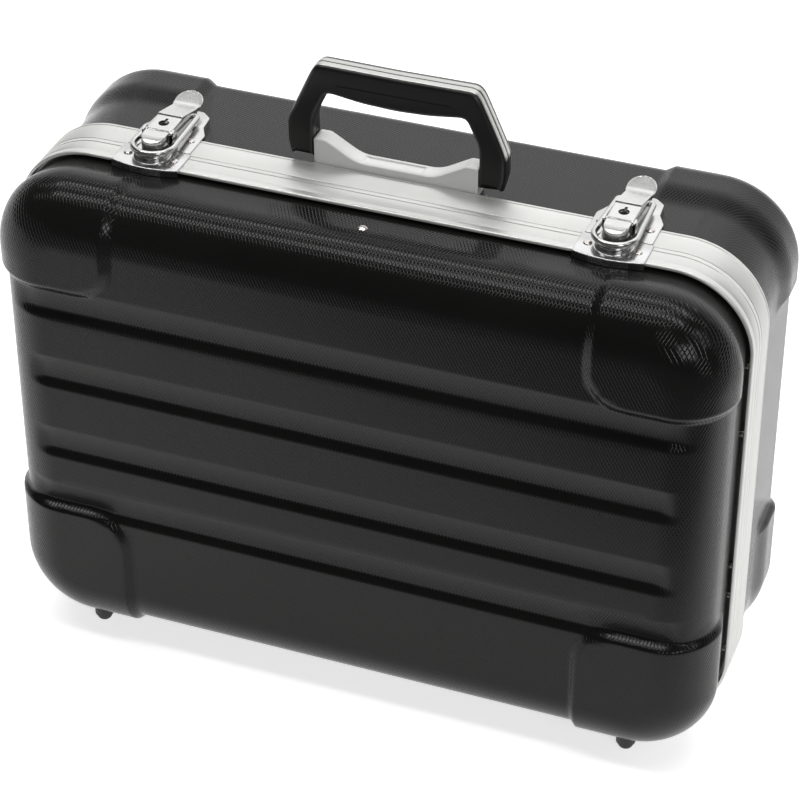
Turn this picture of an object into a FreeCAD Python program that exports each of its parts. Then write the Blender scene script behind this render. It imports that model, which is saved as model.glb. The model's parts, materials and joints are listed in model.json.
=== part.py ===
import FreeCAD, Part
import math
import os

# Attache case: two moulded ABS shells in bent aluminium edge frames, hinged along the bottom.
# Millimetres. X is the width, +Z up, the lid (front shell) faces -Y. The case stands on its feet
# at z = 0, and the origin is under the middle of the whole case.

# ---- driving dimensions -------------------------------------------------------------------
WIDTH = 480.0             # outside the frames
HEIGHT = 342.0            # outside the frames
DEPTH = 180.0             # front face to rear face
FOOT_HEIGHT = 7.0
CORNER_R = 53.0           # frame corner radius
PARTING_Y = -14.0         # plane where lid and base meet
HALF_GAP = 0.15           # half the gap between the two closed frames

LID_FRAME_DEPTH = 19.0    # frame widths, measured from the parting plane
BASE_FRAME_DEPTH = 20.0
FRAME_WALL = 1.8
WEB_START = 6.4           # web of the frame section, measured from the parting plane
WEB_END = 8.0
TONGUE_INSET = 4.0        # locating tongue of the base frame
TONGUE_WALL = 1.6
TONGUE_REACH = 2.0

SHELL_WALL = 3.0
SHELL_INSET = 4.0         # shell wall inside the frame's outer surface
PAD_RISE = 3.7            # raised corner pads
PAD_START_X = 151.0
PAD_TOP_Z = 277.5
PAD_BOTTOM_Z = 109.5
PAD_CORNER_R = 27.0
LID_PAD_START = 3.0       # beyond the frame edge, where a pad starts to rise
BASE_PAD_START = 33.0
PAD_TAPER_LENGTH = 22.0
LID_EDGE_R = 34.0         # rounding between shell face and shell walls
BASE_EDGE_R = 11.0

GROOVE_Z = (262.7, 209.4, 153.5, 109.0)
GROOVE_DEPTH = 3.5
GROOVE_SLOPE = 16.0       # gentle side, above the groove line
GROOVE_STEP = 2.5         # steep side, to each side of the groove line
GROOVE_HALF_LENGTH = 212.0

FOOT_X = 185.0
LID_FOOT_Y = -66.0
BASE_FOOT_Y = 66.0

HINGE_X = 140.0
HINGE_LENGTH = 60.0
HINGE_Z = 4.4
KNUCKLE_R = 2.4
HINGE_PIN_R = 1.15
LEAF_WALL = 1.2

LATCH_X = 149.0
PLATE_WALL = 1.2
LATCH_PIN_Y = -12.1       # lever pivot
LATCH_PIN_Z = 360.9
BAIL_Y = 22.0             # bail pivot on the lever
BAIL_Z = 354.8
BAIL_WIRE_R = 1.7
BAIL_SLOPE = -2.3         # degrees, the closed bail rises towards the keeper
BAIL_END_R = 1.3
LOCK_Y = -4.4
LATCH_PIN_R = 1.0
LOCK_R = 3.5

HANDLE_Y = 13.5           # handle pivot
HANDLE_Z = 357.0
HANDLE_DEPTH = 14.4
GRIP_TOP = 417.0
LEG_INNER_X = 54.0
LEG_OUTER_X = 70.0

STAY_LENGTH = 120.0       # each stay arm, and each stay pivot's distance from the hinge axis
STAY_OFFSET = 10.0        # stay pivots' distance from the parting plane
STAY_WIDTH = 10.0
STAY_STUD_R = 2.5
STAY_HEAD_R = 4.0
STAY_PLATE = 1.6
STAY_ARM_WALL = 2.0
STAY_FREE_GAP = 0.5       # play in the stay pivot on the lid
LID_RIVET_Y = -48.5

RUN = 0.05                # radial clearance of running fits
RIVET_R = 1.6
RIVET_HEAD_R = 2.4
RIVET_HEAD = 0.8

# ---- derived ------------------------------------------------------------------------------
HALF_W = WIDTH / 2
BOTTOM_Z = FOOT_HEIGHT
TOP_Z = FOOT_HEIGHT + HEIGHT
MID_Z = (BOTTOM_Z + TOP_Z) / 2
FLANGE_INSET = SHELL_INSET + SHELL_WALL
FRAME_INNER = FLANGE_INSET + FRAME_WALL
LID_DEPTH = DEPTH / 2 + PARTING_Y
BASE_DEPTH = DEPTH / 2 - PARTING_Y
SHELL_TOP_Z = TOP_Z - SHELL_INSET
STAY_PIVOT_Z = HINGE_Z + math.sqrt(STAY_LENGTH ** 2 - STAY_OFFSET ** 2)
FAR = 400.0               # larger than any half of the case, for cutting tools

X_AXIS = FreeCAD.Vector(1, 0, 0)
Y_AXIS = FreeCAD.Vector(0, 1, 0)
Z_AXIS = FreeCAD.Vector(0, 0, 1)
ORIGIN = FreeCAD.Vector(0, 0, 0)

parts = {}


# ---- helpers ------------------------------------------------------------------------------
def vec(x, y, z):
    return FreeCAD.Vector(x, y, z)


def rounded_polygon(corners):
    """Closed 2-D outline, as edges in the XY plane, from corners (x, y, radius)."""
    starts = []
    ends = []
    mids = []
    count = len(corners)
    for i, (x, y, radius) in enumerate(corners):
        here = vec(x, y, 0)
        back = vec(*corners[i - 1][:2], 0) - here
        ahead = vec(*corners[(i + 1) % count][:2], 0) - here
        back.normalize()
        ahead.normalize()
        half = back.getAngle(ahead) / 2
        reach = radius / math.tan(half)
        starts.append(here + back * reach)
        ends.append(here + ahead * reach)
        inward = back + ahead
        inward.normalize()
        mids.append(here + inward * (radius / math.sin(half) - radius))
    edges = []
    for i in range(count):
        if corners[i][2] > 0:
            edges.append(Part.Arc(starts[i], mids[i], ends[i]).toShape())
        following = starts[(i + 1) % count]
        if (following - ends[i]).Length > 1e-6:
            edges.append(Part.LineSegment(ends[i], following).toShape())
    return Part.Wire(edges)


def slab_z(corners, z0, z1):
    """Outline in plan (x, y, radius), between two heights."""
    face = Part.Face(rounded_polygon(corners))
    face.translate(vec(0, 0, z0))
    return face.extrude(vec(0, 0, z1 - z0))


def slab_y(corners, y0, y1):
    """Outline in elevation (x, z, radius), between two depths."""
    face = Part.Face(rounded_polygon(corners))
    face.rotate(ORIGIN, X_AXIS, 90)
    face.translate(vec(0, y0, 0))
    return face.extrude(vec(0, y1 - y0, 0))


def slab_x(corners, x0, x1):
    """Side profile (y, z, radius), between two x positions."""
    face = Part.Face(rounded_polygon(corners))
    face.rotate(ORIGIN, FreeCAD.Vector(1, 1, 1), 120)
    face.translate(vec(x0, 0, 0))
    return face.extrude(vec(x1 - x0, 0, 0))


def box(x0, x1, y0, y1, z0, z1):
    return Part.makeBox(x1 - x0, y1 - y0, z1 - z0, vec(x0, y0, z0))


def rod_x(radius, x0, x1, y, z):
    return Part.makeCylinder(radius, x1 - x0, vec(x0, y, z), X_AXIS)


def rod_y(radius, y0, y1, x, z):
    return Part.makeCylinder(radius, y1 - y0, vec(x, y0, z), Y_AXIS)


def rod_z(radius, z0, z1, x, y):
    return Part.makeCylinder(radius, z1 - z0, vec(x, y, z0), Z_AXIS)


def fuse(shapes):
    return shapes[0].multiFuse(shapes[1:]).removeSplitter() if len(shapes) > 1 else shapes[0]


def mirror_x(shape):
    return shape.mirror(ORIGIN, X_AXIS)


def both_sides(shape):
    """The shape and its mirror image: right, then left."""
    return [shape, mirror_x(shape)]


def moved(shape, x, y, z):
    copy = shape.copy()
    copy.translate(vec(x, y, z))
    return copy


def on_base(shape):
    """From section depth, measured along +Y from the parting plane, to the base's place."""
    return moved(shape, 0, PARTING_Y, 0)


def on_lid(shape):
    """The same section depth, measured towards -Y, for the lid."""
    return moved(shape.mirror(ORIGIN, Y_AXIS), 0, PARTING_Y, 0)


def outline(inset):
    x = HALF_W - inset
    low = BOTTOM_Z + inset
    high = TOP_Z - inset
    radius = CORNER_R - inset
    return [(-x, low, radius), (x, low, radius), (x, high, radius), (-x, high, radius)]


def prism(inset, d0, d1):
    return slab_y(outline(inset), d0, d1)


def ring(outer_inset, inner_inset, d0, d1):
    return prism(outer_inset, d0, d1).cut(prism(inner_inset, d0 - 1, d1 + 1))


def domed_rivet(length, head_r=RIVET_HEAD_R, head=RIVET_HEAD, shank_r=RIVET_R):
    """Rivet along +Z: a domed head below z = 0, the shank, and a flat head above it."""
    dome_r = (head_r ** 2 + head ** 2) / (2 * head)
    dome = Part.makeSphere(dome_r, vec(0, 0, dome_r - head))
    dome = dome.common(Part.makeCylinder(head_r + 1, head, vec(0, 0, -head)))
    shank = Part.makeCylinder(shank_r, length, ORIGIN)
    tail = Part.makeCylinder(head_r, head, vec(0, 0, length))
    return fuse([dome, shank, tail])


def turned(shape, axis, angle):
    copy = shape.copy()
    copy.rotate(ORIGIN, axis, angle)
    return copy


# ---- shells -------------------------------------------------------------------------------
def skin(offset, depth, edge_r, start):
    """Solid rounded tray, its surface moved outwards by offset from the plain shell surface."""
    face_d = depth - PAD_RISE + offset
    solid = prism(SHELL_INSET - offset, start, face_d)
    rim = [e for e in solid.Edges if all(abs(v.Y - face_d) < 1e-4 for v in e.Vertexes)]
    return solid.makeFillet(edge_r + offset, rim)


def pad_regions(grow, d0, d1):
    """The four corners of the shell that the raised pads cover."""
    x = PAD_START_X - grow
    low = PAD_TOP_Z - grow
    high = PAD_BOTTOM_Z + grow
    radius = PAD_CORNER_R + grow
    upper = slab_y([(x, low, radius), (FAR, low, 0), (FAR, FAR, 0), (x, FAR, 0)], d0, d1)
    lower = slab_y([(x, high, radius), (x, -FAR, 0), (FAR, -FAR, 0), (FAR, high, 0)], d0, d1)
    return [upper, lower, mirror_x(upper), mirror_x(lower)]


def pads(offset, depth, edge_r, start):
    """Raised corner pads: they rise from the wall beyond the frame and cover the corners."""
    full = start + PAD_TAPER_LENGTH
    raised = skin(PAD_RISE + offset, depth, edge_r, start)
    low_wire = rounded_polygon(outline(SHELL_INSET - offset + 0.3))
    high_wire = rounded_polygon(outline(SHELL_INSET - offset - PAD_RISE - 0.01))
    for wire, d in ((low_wire, start), (high_wire, full)):
        wire.rotate(ORIGIN, X_AXIS, 90)
        wire.translate(vec(0, d, 0))
    taper = Part.makeLoft([low_wire, high_wire], True, True)
    taper = taper.fuse(prism(SHELL_INSET - offset - PAD_RISE - 0.01, full, depth + 10))
    raised = raised.common(taper)
    return [raised.common(region) for region in pad_regions(offset, start - 1, depth + 10)]


def grooves(offset, depth):
    """The horizontal grooves across the shell face, as solid bars."""
    face_d = depth - PAD_RISE
    bars = []
    for z in GROOVE_Z:
        deep = face_d - GROOVE_DEPTH + offset
        profile = [
            (face_d + 20, z + GROOVE_SLOPE - offset, 0),
            (face_d, z + GROOVE_SLOPE - offset, 0),
            (deep, z + GROOVE_STEP - offset, 0),
            (face_d, z - GROOVE_STEP + offset, 0),
            (face_d + 20, z - GROOVE_STEP + offset, 0),
        ]
        half = GROOVE_HALF_LENGTH - offset
        bars.append(slab_x(profile, -half, half))
    return bars


def shell(depth, edge_r, pad_start):
    """The shell's outside and its hollow, both as solids in section depth."""
    outside = skin(0, depth, edge_r, WEB_END).cut(grooves(0, depth))
    outside = outside.multiFuse(pads(0, depth, edge_r, pad_start))
    hollow = skin(-SHELL_WALL, depth, edge_r, WEB_END - 1).cut(grooves(-SHELL_WALL, depth))
    hollow = hollow.multiFuse(pads(-SHELL_WALL, depth, edge_r, pad_start))
    return outside, hollow


# ---- frames -------------------------------------------------------------------------------
def frame(depth, line_depths, with_tongue):
    """Bent edge frame: outer wall, web and inner flange. The shell wall sits in its slot."""
    wall = ring(0, FRAME_WALL, HALF_GAP, depth)
    lip = [e for e in wall.Edges
           if all(abs(v.Y - depth) < 1e-4 for v in e.Vertexes) and on_outline(e, 0)]
    wall = wall.makeFillet(1.2, lip)
    for line in line_depths:
        wall = wall.cut(ring(-1, 0.35, line, line + 0.5))
    pieces = [wall, ring(FRAME_WALL - 0.01, FRAME_INNER, WEB_START, WEB_END),
              ring(FLANGE_INSET, FRAME_INNER, HALF_GAP, depth - 1)]
    if with_tongue:
        tongue_end = TONGUE_INSET + TONGUE_WALL
        pieces.append(ring(TONGUE_INSET, tongue_end, -TONGUE_REACH, WEB_START + 0.01))
    joint = box(-0.1, 0.1, -5, depth + 1, BOTTOM_Z - 1, BOTTOM_Z + 20)
    return fuse(pieces).cut(joint)


def on_outline(edge, inset):
    """True for an edge that lies on the outline at this inset."""
    point = edge.valueAt((edge.FirstParameter + edge.LastParameter) / 2)
    x = abs(point.x) - (HALF_W - CORNER_R)
    z = abs(point.z - MID_Z) - (HEIGHT / 2 - CORNER_R)
    reach = math.hypot(max(x, 0), max(z, 0)) if x > 0 and z > 0 else max(x, z)
    return abs(reach - (CORNER_R - inset)) < 1e-3


def splice():
    """Joining strip inside the frame channel, across the butt joint at the bottom."""
    low = BOTTOM_Z + FRAME_WALL
    return box(-28, 28, 0.6, WEB_START, low, low + 1.5)


# ---- latches, modelled about their own centre line at x = 0 -------------------------------
PLATE_TOP = TOP_Z + PLATE_WALL
LATCH_TOP = 362.8         # top of the lever and of the housing's nose
EAR_IN = 8.8
EAR_OUT = 10.0
LEVER_HALF = 8.4
LEVER_WALL = 1.2
KEYHOLE_R = 3.1
KEYHOLE_SLOT = (0.7, 5.2)  # half width and reach beyond the lock's axis
RIVET_BASE = (15.5, 0.5)  # latch base rivets, x and y
RIVET_KEEPER = (15.5, -25.0)
SKIRT_START = PARTING_Y + BASE_FRAME_DEPTH + 0.4
BOSS_R = 11.3             # low round boss on the keeper
BOSS_Y = -22.6
BOSS_TOP = 355.0
KEEPER_HALF = 21.5
KEEPER_SIDE_Y = -35.3     # front edge of the keeper, at its sides and at its middle
KEEPER_FRONT_Y = -38.8


def latch_housing():
    """Base plate on the base frame, with the lever's ears and the fixed nose over the keeper."""
    plan = [(-21, -13.7, 1), (21, -13.7, 1), (21, 10, 5), (16.2, 19, 6), (15.2, 31, 3),
            (9, 36.5, 4), (-9, 36.5, 4), (-15.2, 31, 3), (-16.2, 19, 6), (-21, 10, 5)]
    plate = slab_z(plan, TOP_Z, PLATE_TOP)
    inside = Part.Face(rounded_polygon(plan).makeOffset2D(-PLATE_WALL))
    inside.translate(vec(0, 0, SHELL_TOP_Z - 1))
    skirt = slab_z(plan, SHELL_TOP_Z + RUN, TOP_Z)
    skirt = skirt.cut(inside.extrude(vec(0, 0, 10)))
    skirt = skirt.common(box(-30, 30, SKIRT_START, 60, 0, FAR))
    ear = [(-13.7, TOP_Z, 0), (-7, TOP_Z, 0), (-7, 359.5, 3), (-9.5, 362.9, 2), (-15.2, 362.6, 0),
           (-15.2, 356, 0), (-13.7, 356, 0)]
    ears = [slab_x(ear, EAR_IN, EAR_OUT), slab_x(ear, -EAR_OUT, -EAR_IN)]
    nose_plan = [(-7.5, -14.4, 0), (7.5, -14.4, 0), (7.5, -29, 7.45), (-7.5, -29, 7.45)]
    side = [(-14.4, 356, 0), (-14.4, LATCH_TOP, 0), (-15.5, LATCH_TOP, 0), (-27, 360.6, 4),
            (-29.5, 359, 0), (-29.5, 356, 0)]
    nose = slab_z(nose_plan, 350, 370).common(slab_x(side, -20, 20))
    inner_plan = [(-6.3, -13, 0), (6.3, -13, 0), (6.3, -27.8, 6.25), (-6.3, -27.8, 6.25)]
    inner_side = [(y, z - LEVER_WALL, r) for y, z, r in side]
    nose = nose.cut(slab_z(inner_plan, 350, 370).common(slab_x(inner_side, -20, 20)))
    webs = [box(s * 8.15 - 1.85, s * 8.15 + 1.85, -15.2, -14.4, 356, 361.6) for s in (-1, 1)]
    catch = fuse([box(5.9, 6.9, LOCK_Y - 2, LOCK_Y + 2, PLATE_TOP - 0.1, 355.2),
                  box(4.4, 6.9, LOCK_Y - 2, LOCK_Y + 2, 354.2, 355.2)])
    body = fuse([plate, skirt, catch, nose] + ears + webs)
    holes = [rod_z(RIVET_R, TOP_Z - 1, PLATE_TOP + 1, s * RIVET_BASE[0], RIVET_BASE[1])
             for s in (-1, 1)]
    holes.append(rod_x(LATCH_PIN_R, -20, 20, LATCH_PIN_Y, LATCH_PIN_Z))
    return body.cut(holes)


def latch_keeper():
    """Keeper plate on the lid frame: a low round boss and a lip folded over the frame's edge."""
    outer = keeper_plan(0)
    plate = Part.Face(outer)
    plate.translate(vec(0, 0, TOP_Z))
    plate = plate.extrude(vec(0, 0, PLATE_WALL))
    full = Part.Face(outer)
    full.translate(vec(0, 0, SHELL_TOP_Z + 0.3))
    full = full.extrude(vec(0, 0, SHELL_INSET - 0.3))
    inner = Part.Face(keeper_plan(PLATE_WALL))
    inner.translate(vec(0, 0, SHELL_TOP_Z))
    lip = full.cut(inner.extrude(vec(0, 0, 10)))
    lip = lip.common(box(-30, 30, -60, PARTING_Y - LID_FRAME_DEPTH - RUN, 0, FAR))
    boss = rod_z(BOSS_R, PLATE_TOP - 0.1, BOSS_TOP, 0, BOSS_Y)
    boss = boss.makeFillet(1.6, [e for e in boss.Edges if abs(e.CenterOfMass.z - BOSS_TOP) < 1e-3
                                 and e.Length > 60])
    boss = boss.common(box(-30, 30, -60, PARTING_Y - 0.3, 0, FAR))
    hollow = rod_z(BOSS_R - 1.5, TOP_Z - 1, BOSS_TOP - PLATE_WALL, 0, BOSS_Y)
    body = fuse([plate, lip, boss]).cut(hollow.common(box(-30, 30, -60, -15.5, 0, FAR)))
    holes = [rod_z(RIVET_R, TOP_Z - 1, PLATE_TOP + 1, s * RIVET_KEEPER[0], RIVET_KEEPER[1])
             for s in (-1, 1)]
    return body.cut(holes)


def keeper_plan(shrink):
    """Plan of the keeper: straight along the parting line, bowed forwards at the front."""
    x = KEEPER_HALF - shrink
    back = PARTING_Y - 0.3
    left = vec(-x, KEEPER_SIDE_Y + shrink, 0)
    right = vec(x, KEEPER_SIDE_Y + shrink, 0)
    return Part.Wire([
        Part.LineSegment(vec(-x, back, 0), left).toShape(),
        Part.Arc(left, vec(0, KEEPER_FRONT_Y + shrink, 0), right).toShape(),
        Part.LineSegment(right, vec(x, back, 0)).toShape(),
        Part.LineSegment(vec(x, back, 0), vec(-x, back, 0)).toShape(),
    ])


def latch_lever():
    """Lever: folded channel with a rolled eye at the front and a finger tab at the back."""
    top = [(LATCH_PIN_Y, LATCH_TOP, 0), (4.6, LATCH_TOP, 0), (5.4, LATCH_TOP + 0.8, 0),
           (8.0, LATCH_TOP + 0.4, 0), (29.6, 357.4, 5), (42.6, 362.6, 0)]
    sheet = top + [(y, z - LEVER_WALL, r) for y, z, r in reversed(top)]
    plan = [(-LEVER_HALF, -20, 0), (LEVER_HALF, -20, 0), (LEVER_HALF, 27.5, 1.5),
            (9.3, 30.5, 1.5), (9.3, 42.4, 9.2), (-9.3, 42.4, 9.2), (-9.3, 30.5, 1.5),
            (-LEVER_HALF, 27.5, 1.5)]
    plate = slab_x(sheet, -12, 12).common(slab_z(plan, 340, 380))
    flange = [(-10.2, 361.8, 0), (-10.2, 356.2, 2), (-6.5, 352.2, 2), (27, 352.2, 2),
              (28.4, 356.9, 0), (8.0, LATCH_TOP - 0.4, 0), (4.6, LATCH_TOP - 0.4, 0)]
    inner_x = LEVER_HALF - LEVER_WALL
    flanges = [slab_x(flange, inner_x, LEVER_HALF), slab_x(flange, -LEVER_HALF, -inner_x)]
    eye = rod_x(1.9, -LEVER_HALF, LEVER_HALF, LATCH_PIN_Y, LATCH_PIN_Z)
    sleeve = rod_z(5.2, 356.0, LATCH_TOP - LEVER_WALL / 2, 0, LOCK_Y)
    body = fuse([plate, eye, sleeve] + flanges)
    slot_half, slot_reach = KEYHOLE_SLOT
    slot = box(-slot_half, slot_half, LOCK_Y, LOCK_Y + slot_reach,
               LATCH_TOP - LEVER_WALL, LATCH_TOP + 1)
    return body.cut([
        rod_x(LATCH_PIN_R + RUN, -20, 20, LATCH_PIN_Y, LATCH_PIN_Z),
        rod_x(BAIL_END_R + RUN, -20, 20, BAIL_Y, BAIL_Z),
        rod_z(LOCK_R + RUN, 350, LATCH_TOP, 0, LOCK_Y),
        rod_z(KEYHOLE_R, LATCH_TOP - LEVER_WALL, LATCH_TOP + 1, 0, LOCK_Y),
        slot,
    ])


def latch_bail():
    """Bent wire loop: two legs, a round front and two ends turned into the lever's flanges."""
    leg_x = 11.2
    end_x = 6.4
    front_x = 13.0
    front_y = -42.0
    front = Part.makeTorus(front_x, BAIL_WIRE_R, vec(0, front_y, 0), Z_AXIS)
    pieces = [front.common(box(-30, 30, front_y - 30, front_y, -5, 5))]
    for side in (-1, 1):
        eye = vec(side * leg_x, 0, 0)
        bend = vec(side * front_x, front_y, 0)
        along = bend - eye
        pieces.append(Part.makeCylinder(BAIL_WIRE_R, along.Length, eye, along))
        pieces.append(Part.makeSphere(BAIL_WIRE_R, eye))
        pieces.append(Part.makeSphere(BAIL_WIRE_R, bend))
        pieces.append(rod_x(BAIL_END_R, min(side * end_x, side * leg_x),
                            max(side * end_x, side * leg_x), 0, 0))
    body = turned(fuse(pieces), X_AXIS, BAIL_SLOPE)
    return moved(body, 0, BAIL_Y, BAIL_Z)


def latch_pin():
    shank = rod_x(LATCH_PIN_R, -EAR_OUT, EAR_OUT, LATCH_PIN_Y, LATCH_PIN_Z)
    heads = [rod_x(1.7, s * (EAR_OUT + 0.25) - 0.25, s * (EAR_OUT + 0.25) + 0.25,
                   LATCH_PIN_Y, LATCH_PIN_Z) for s in (-1, 1)]
    return fuse([shank] + heads)


def lock_cylinder():
    """Lock cylinder under the keyhole: a keyway in its face and the locking cam at its foot."""
    barrel = rod_z(LOCK_R, 354.0, 360.6, 0, LOCK_Y)
    barrel = barrel.cut(box(-0.6, 0.6, LOCK_Y - 2.4, LOCK_Y + 2.4, 358.0, 361))
    cam = fuse([rod_z(2.4, 352.6, 353.9, 0, LOCK_Y),
                box(-1.6, 1.6, LOCK_Y, LOCK_Y + 5.7, 352.6, 353.9)])
    return fuse([barrel, cam, rod_z(1.5, 353.5, 354.5, 0, LOCK_Y)])


def plate_rivets(spot):
    x, y = spot
    rivet = turned(domed_rivet(PLATE_WALL + FRAME_WALL), X_AXIS, 180)
    return Part.Compound([moved(rivet, s * x, y, PLATE_TOP) for s in (-1, 1)])


# ---- handle -------------------------------------------------------------------------------
PIN_R = 3.0
BRACKET_HALF = 53.4
BRACKET_HALF_DEPTH = 6.4
EAR_TOP_Z = 365.0
SADDLE_Z = 353.1          # lowest part of the bracket's top
SCREW_X = 32.0
SCREW_R = 2.0
SCREW_REACH = 7.0         # into the bracket, from the shell
BACKING_WALL = 2.0
STRIP_LOW = 373.0


def handle_bracket():
    """Cast saddle between the handle's legs, with a pivot ear at each end."""
    half = [(BRACKET_HALF, SHELL_TOP_Z, 0), (BRACKET_HALF, EAR_TOP_Z, 1.5), (46, EAR_TOP_Z, 5),
            (25.5, SADDLE_Z, 24)]
    corners = half + [(-x, z, r) for x, z, r in reversed(half)]
    body = slab_y(corners, HANDLE_Y - BRACKET_HALF_DEPTH, HANDLE_Y + BRACKET_HALF_DEPTH)
    body = body.cut(box(-22, 16, HANDLE_Y - 4, HANDLE_Y + 4, SADDLE_Z - 0.6, EAR_TOP_Z))
    holes = [rod_z(SCREW_R, SHELL_TOP_Z - 1, SHELL_TOP_Z + SCREW_REACH, s * SCREW_X, HANDLE_Y)
             for s in (-1, 1)]
    holes += [rod_x(PIN_R, s * 49.0 - 5, s * 49.0 + 5, HANDLE_Y, HANDLE_Z) for s in (-1, 1)]
    return body.cut(holes)


def handle_pins():
    return Part.Compound([rod_x(PIN_R, s * 55.0 - 11, s * 55.0 + 11, HANDLE_Y, HANDLE_Z)
                          for s in (-1, 1)])


def handle_backing_plate():
    """Strip inside the shell that spreads the handle's pull."""
    low = SHELL_TOP_Z - SHELL_WALL - BACKING_WALL
    corners = [(-50, HANDLE_Y - 5.5, 2), (50, HANDLE_Y - 5.5, 2), (50, HANDLE_Y + 8, 2),
               (-50, HANDLE_Y + 8, 2)]
    plate = slab_z(corners, low, low + BACKING_WALL)
    return plate.cut([rod_z(SCREW_R, low - 1, low + BACKING_WALL + 1, s * SCREW_X, HANDLE_Y)
                      for s in (-1, 1)])


def handle_screws():
    top = SHELL_TOP_Z + SCREW_REACH
    low = SHELL_TOP_Z - SHELL_WALL - BACKING_WALL
    return Part.Compound([fuse([rod_z(SCREW_R, low, top, s * SCREW_X, HANDLE_Y),
                                rod_z(3.6, low - 2.4, low, s * SCREW_X, HANDLE_Y)])
                          for s in (-1, 1)])


def grip_outline():
    half = [(LEG_INNER_X, 349, 0), (67, 349, 2), (LEG_OUTER_X, 360, 8), (LEG_OUTER_X, 376, 20),
            (51, GRIP_TOP, 13)]
    under = [(-LEG_INNER_X, 379, 12), (-46.5, 398.5, 7), (0, 394, 160), (46.5, 398.5, 7),
             (LEG_INNER_X, 379, 12)]
    return half + [(-x, z, r) for x, z, r in reversed(half)] + under


def grip_blank():
    front = HANDLE_Y - HANDLE_DEPTH / 2
    back = HANDLE_Y + HANDLE_DEPTH / 2
    blank = slab_y(grip_outline(), front, back)
    rims = [e for e in blank.Edges if all(abs(v.Y - front) < 1e-4 for v in e.Vertexes)
            or all(abs(v.Y - back) < 1e-4 for v in e.Vertexes)]
    rims = [e for e in rims if e.BoundBox.ZMax > 360]
    blank = blank.makeFillet(2.2, rims)
    round_foot = rod_x(HANDLE_DEPTH / 2, -90, 90, HANDLE_Y, HANDLE_Z)
    blank = blank.common(fuse([box(-90, 90, 0, 40, HANDLE_Z, 430), round_foot]))
    bores = [rod_x(PIN_R + RUN, s * 60.0 - 6.2, s * 60.0 + 6.2, HANDLE_Y, HANDLE_Z)
             for s in (-1, 1)]
    return blank.cut(bores + grip_strips() + [grip_screw_tool()])


def grip_strips():
    """Two trim strips let into the outer edge of the grip."""
    outer = Part.Face(rounded_polygon(grip_outline()))
    inner = Part.Face(rounded_polygon(grip_outline()).makeOffset2D(-0.8))
    strips = []
    for y0, y1 in ((8.7, 13.3), (13.9, 18.3)):
        band = []
        for face in (outer.copy(), inner.copy()):
            face.rotate(ORIGIN, X_AXIS, 90)
            face.translate(vec(0, y0, 0))
            band.append(face.extrude(vec(0, y1 - y0, 0)))
        strip = band[0].cut(band[1])
        above = slab_y([(-80, STRIP_LOW, 0), (-62, STRIP_LOW, 0), (-45, 405, 0), (45, 405, 0),
                        (62, STRIP_LOW, 0), (80, STRIP_LOW, 0), (80, 440, 0), (-80, 440, 0)], 0, 30)
        strips.append(strip.common(above))
    return strips


GRIP_SCREWS = ((-61.0, 385.0), (0.0, 406.0), (61.0, 385.0))
GRIP_SCREW_R = 1.5
GRIP_SCREW_HEAD_R = 2.9


def grip_screw(x, z, end):
    """Screw from the grip's rear face to its front half. Its head starts 3 mm below the face."""
    back = HANDLE_Y + HANDLE_DEPTH / 2
    return fuse([rod_y(GRIP_SCREW_R, HANDLE_Y - 5, back - 2, x, z),
                 rod_y(GRIP_SCREW_HEAD_R, back - 3, back + end, x, z)])


def grip_screw_tool():
    return fuse([grip_screw(x, z, 1) for x, z in GRIP_SCREWS])


def grip_screws():
    return Part.Compound([grip_screw(x, z, -1.2) for x, z in GRIP_SCREWS])


# ---- hinges -------------------------------------------------------------------------------
def hinge_leaf(knuckles, bore_r):
    """Leaf in section depth, from its barrel along the frame's underside, with its knuckles."""
    low = BOTTOM_Z - LEAF_WALL
    reach = 18.0
    pieces = [box(-HINGE_LENGTH / 2, HINGE_LENGTH / 2, KNUCKLE_R, reach, low, BOTTOM_Z)]
    for x0, x1 in knuckles:
        pieces.append(rod_x(KNUCKLE_R, x0, x1, 0, HINGE_Z))
        pieces.append(box(x0, x1, 0.05, KNUCKLE_R, low, BOTTOM_Z - 0.2))
    leaf = fuse(pieces).cut(rod_x(bore_r, -40, 40, 0, HINGE_Z))
    return leaf.cut([rod_z(RIVET_R, 0, 10, x, 13.0) for x in (-20, 0, 20)])


def hinge_rivets():
    rivets = []
    for hinge_x in (-HINGE_X, HINGE_X):
        for x in (-20, 0, 20):
            rivet = domed_rivet(LEAF_WALL + FRAME_WALL)
            rivets.append(moved(rivet, hinge_x + x, 13.0, BOTTOM_Z - LEAF_WALL))
    return Part.Compound(rivets)


# ---- lid stays, modelled for the right-hand side ------------------------------------------
STAY_FACE_X = HALF_W - FRAME_INNER     # inner face of the frame flange
STAY_ELBOW_Z = STAY_PIVOT_Z + math.sqrt(STAY_LENGTH ** 2 - STAY_OFFSET ** 2)
STAY_RIVET_SPOTS = ((13.2, 12.0), (13.2, -12.0))
LOWER_ARM_X = 5.2         # inner face of each arm, measured inwards from the flange
UPPER_ARM_X = 7.7
STAY_SIDE_GAP = 0.9       # between an arm and the stud's head


def stay_bracket(arm_x):
    """Riveted plate on the frame flange, in section depth, with a headed stud for one arm."""
    plate = slab_x([(0.8, STAY_PIVOT_Z - 17, 3), (17, STAY_PIVOT_Z - 17, 3),
                    (17, STAY_PIVOT_Z + 17, 3), (0.8, STAY_PIVOT_Z + 17, 3)],
                   STAY_FACE_X - STAY_PLATE, STAY_FACE_X)
    neck = STAY_FACE_X - arm_x - STAY_SIDE_GAP
    stud = rod_x(STAY_STUD_R, neck, STAY_FACE_X - 1, STAY_OFFSET, STAY_PIVOT_Z)
    head = rod_x(STAY_HEAD_R, neck - 1, neck, STAY_OFFSET, STAY_PIVOT_Z)
    holes = [rod_x(RIVET_R, STAY_FACE_X - 5, STAY_FACE_X + 9, d, STAY_PIVOT_Z + dz)
             for d, dz in STAY_RIVET_SPOTS]
    return fuse([plate, stud, head]).cut(holes)


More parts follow.
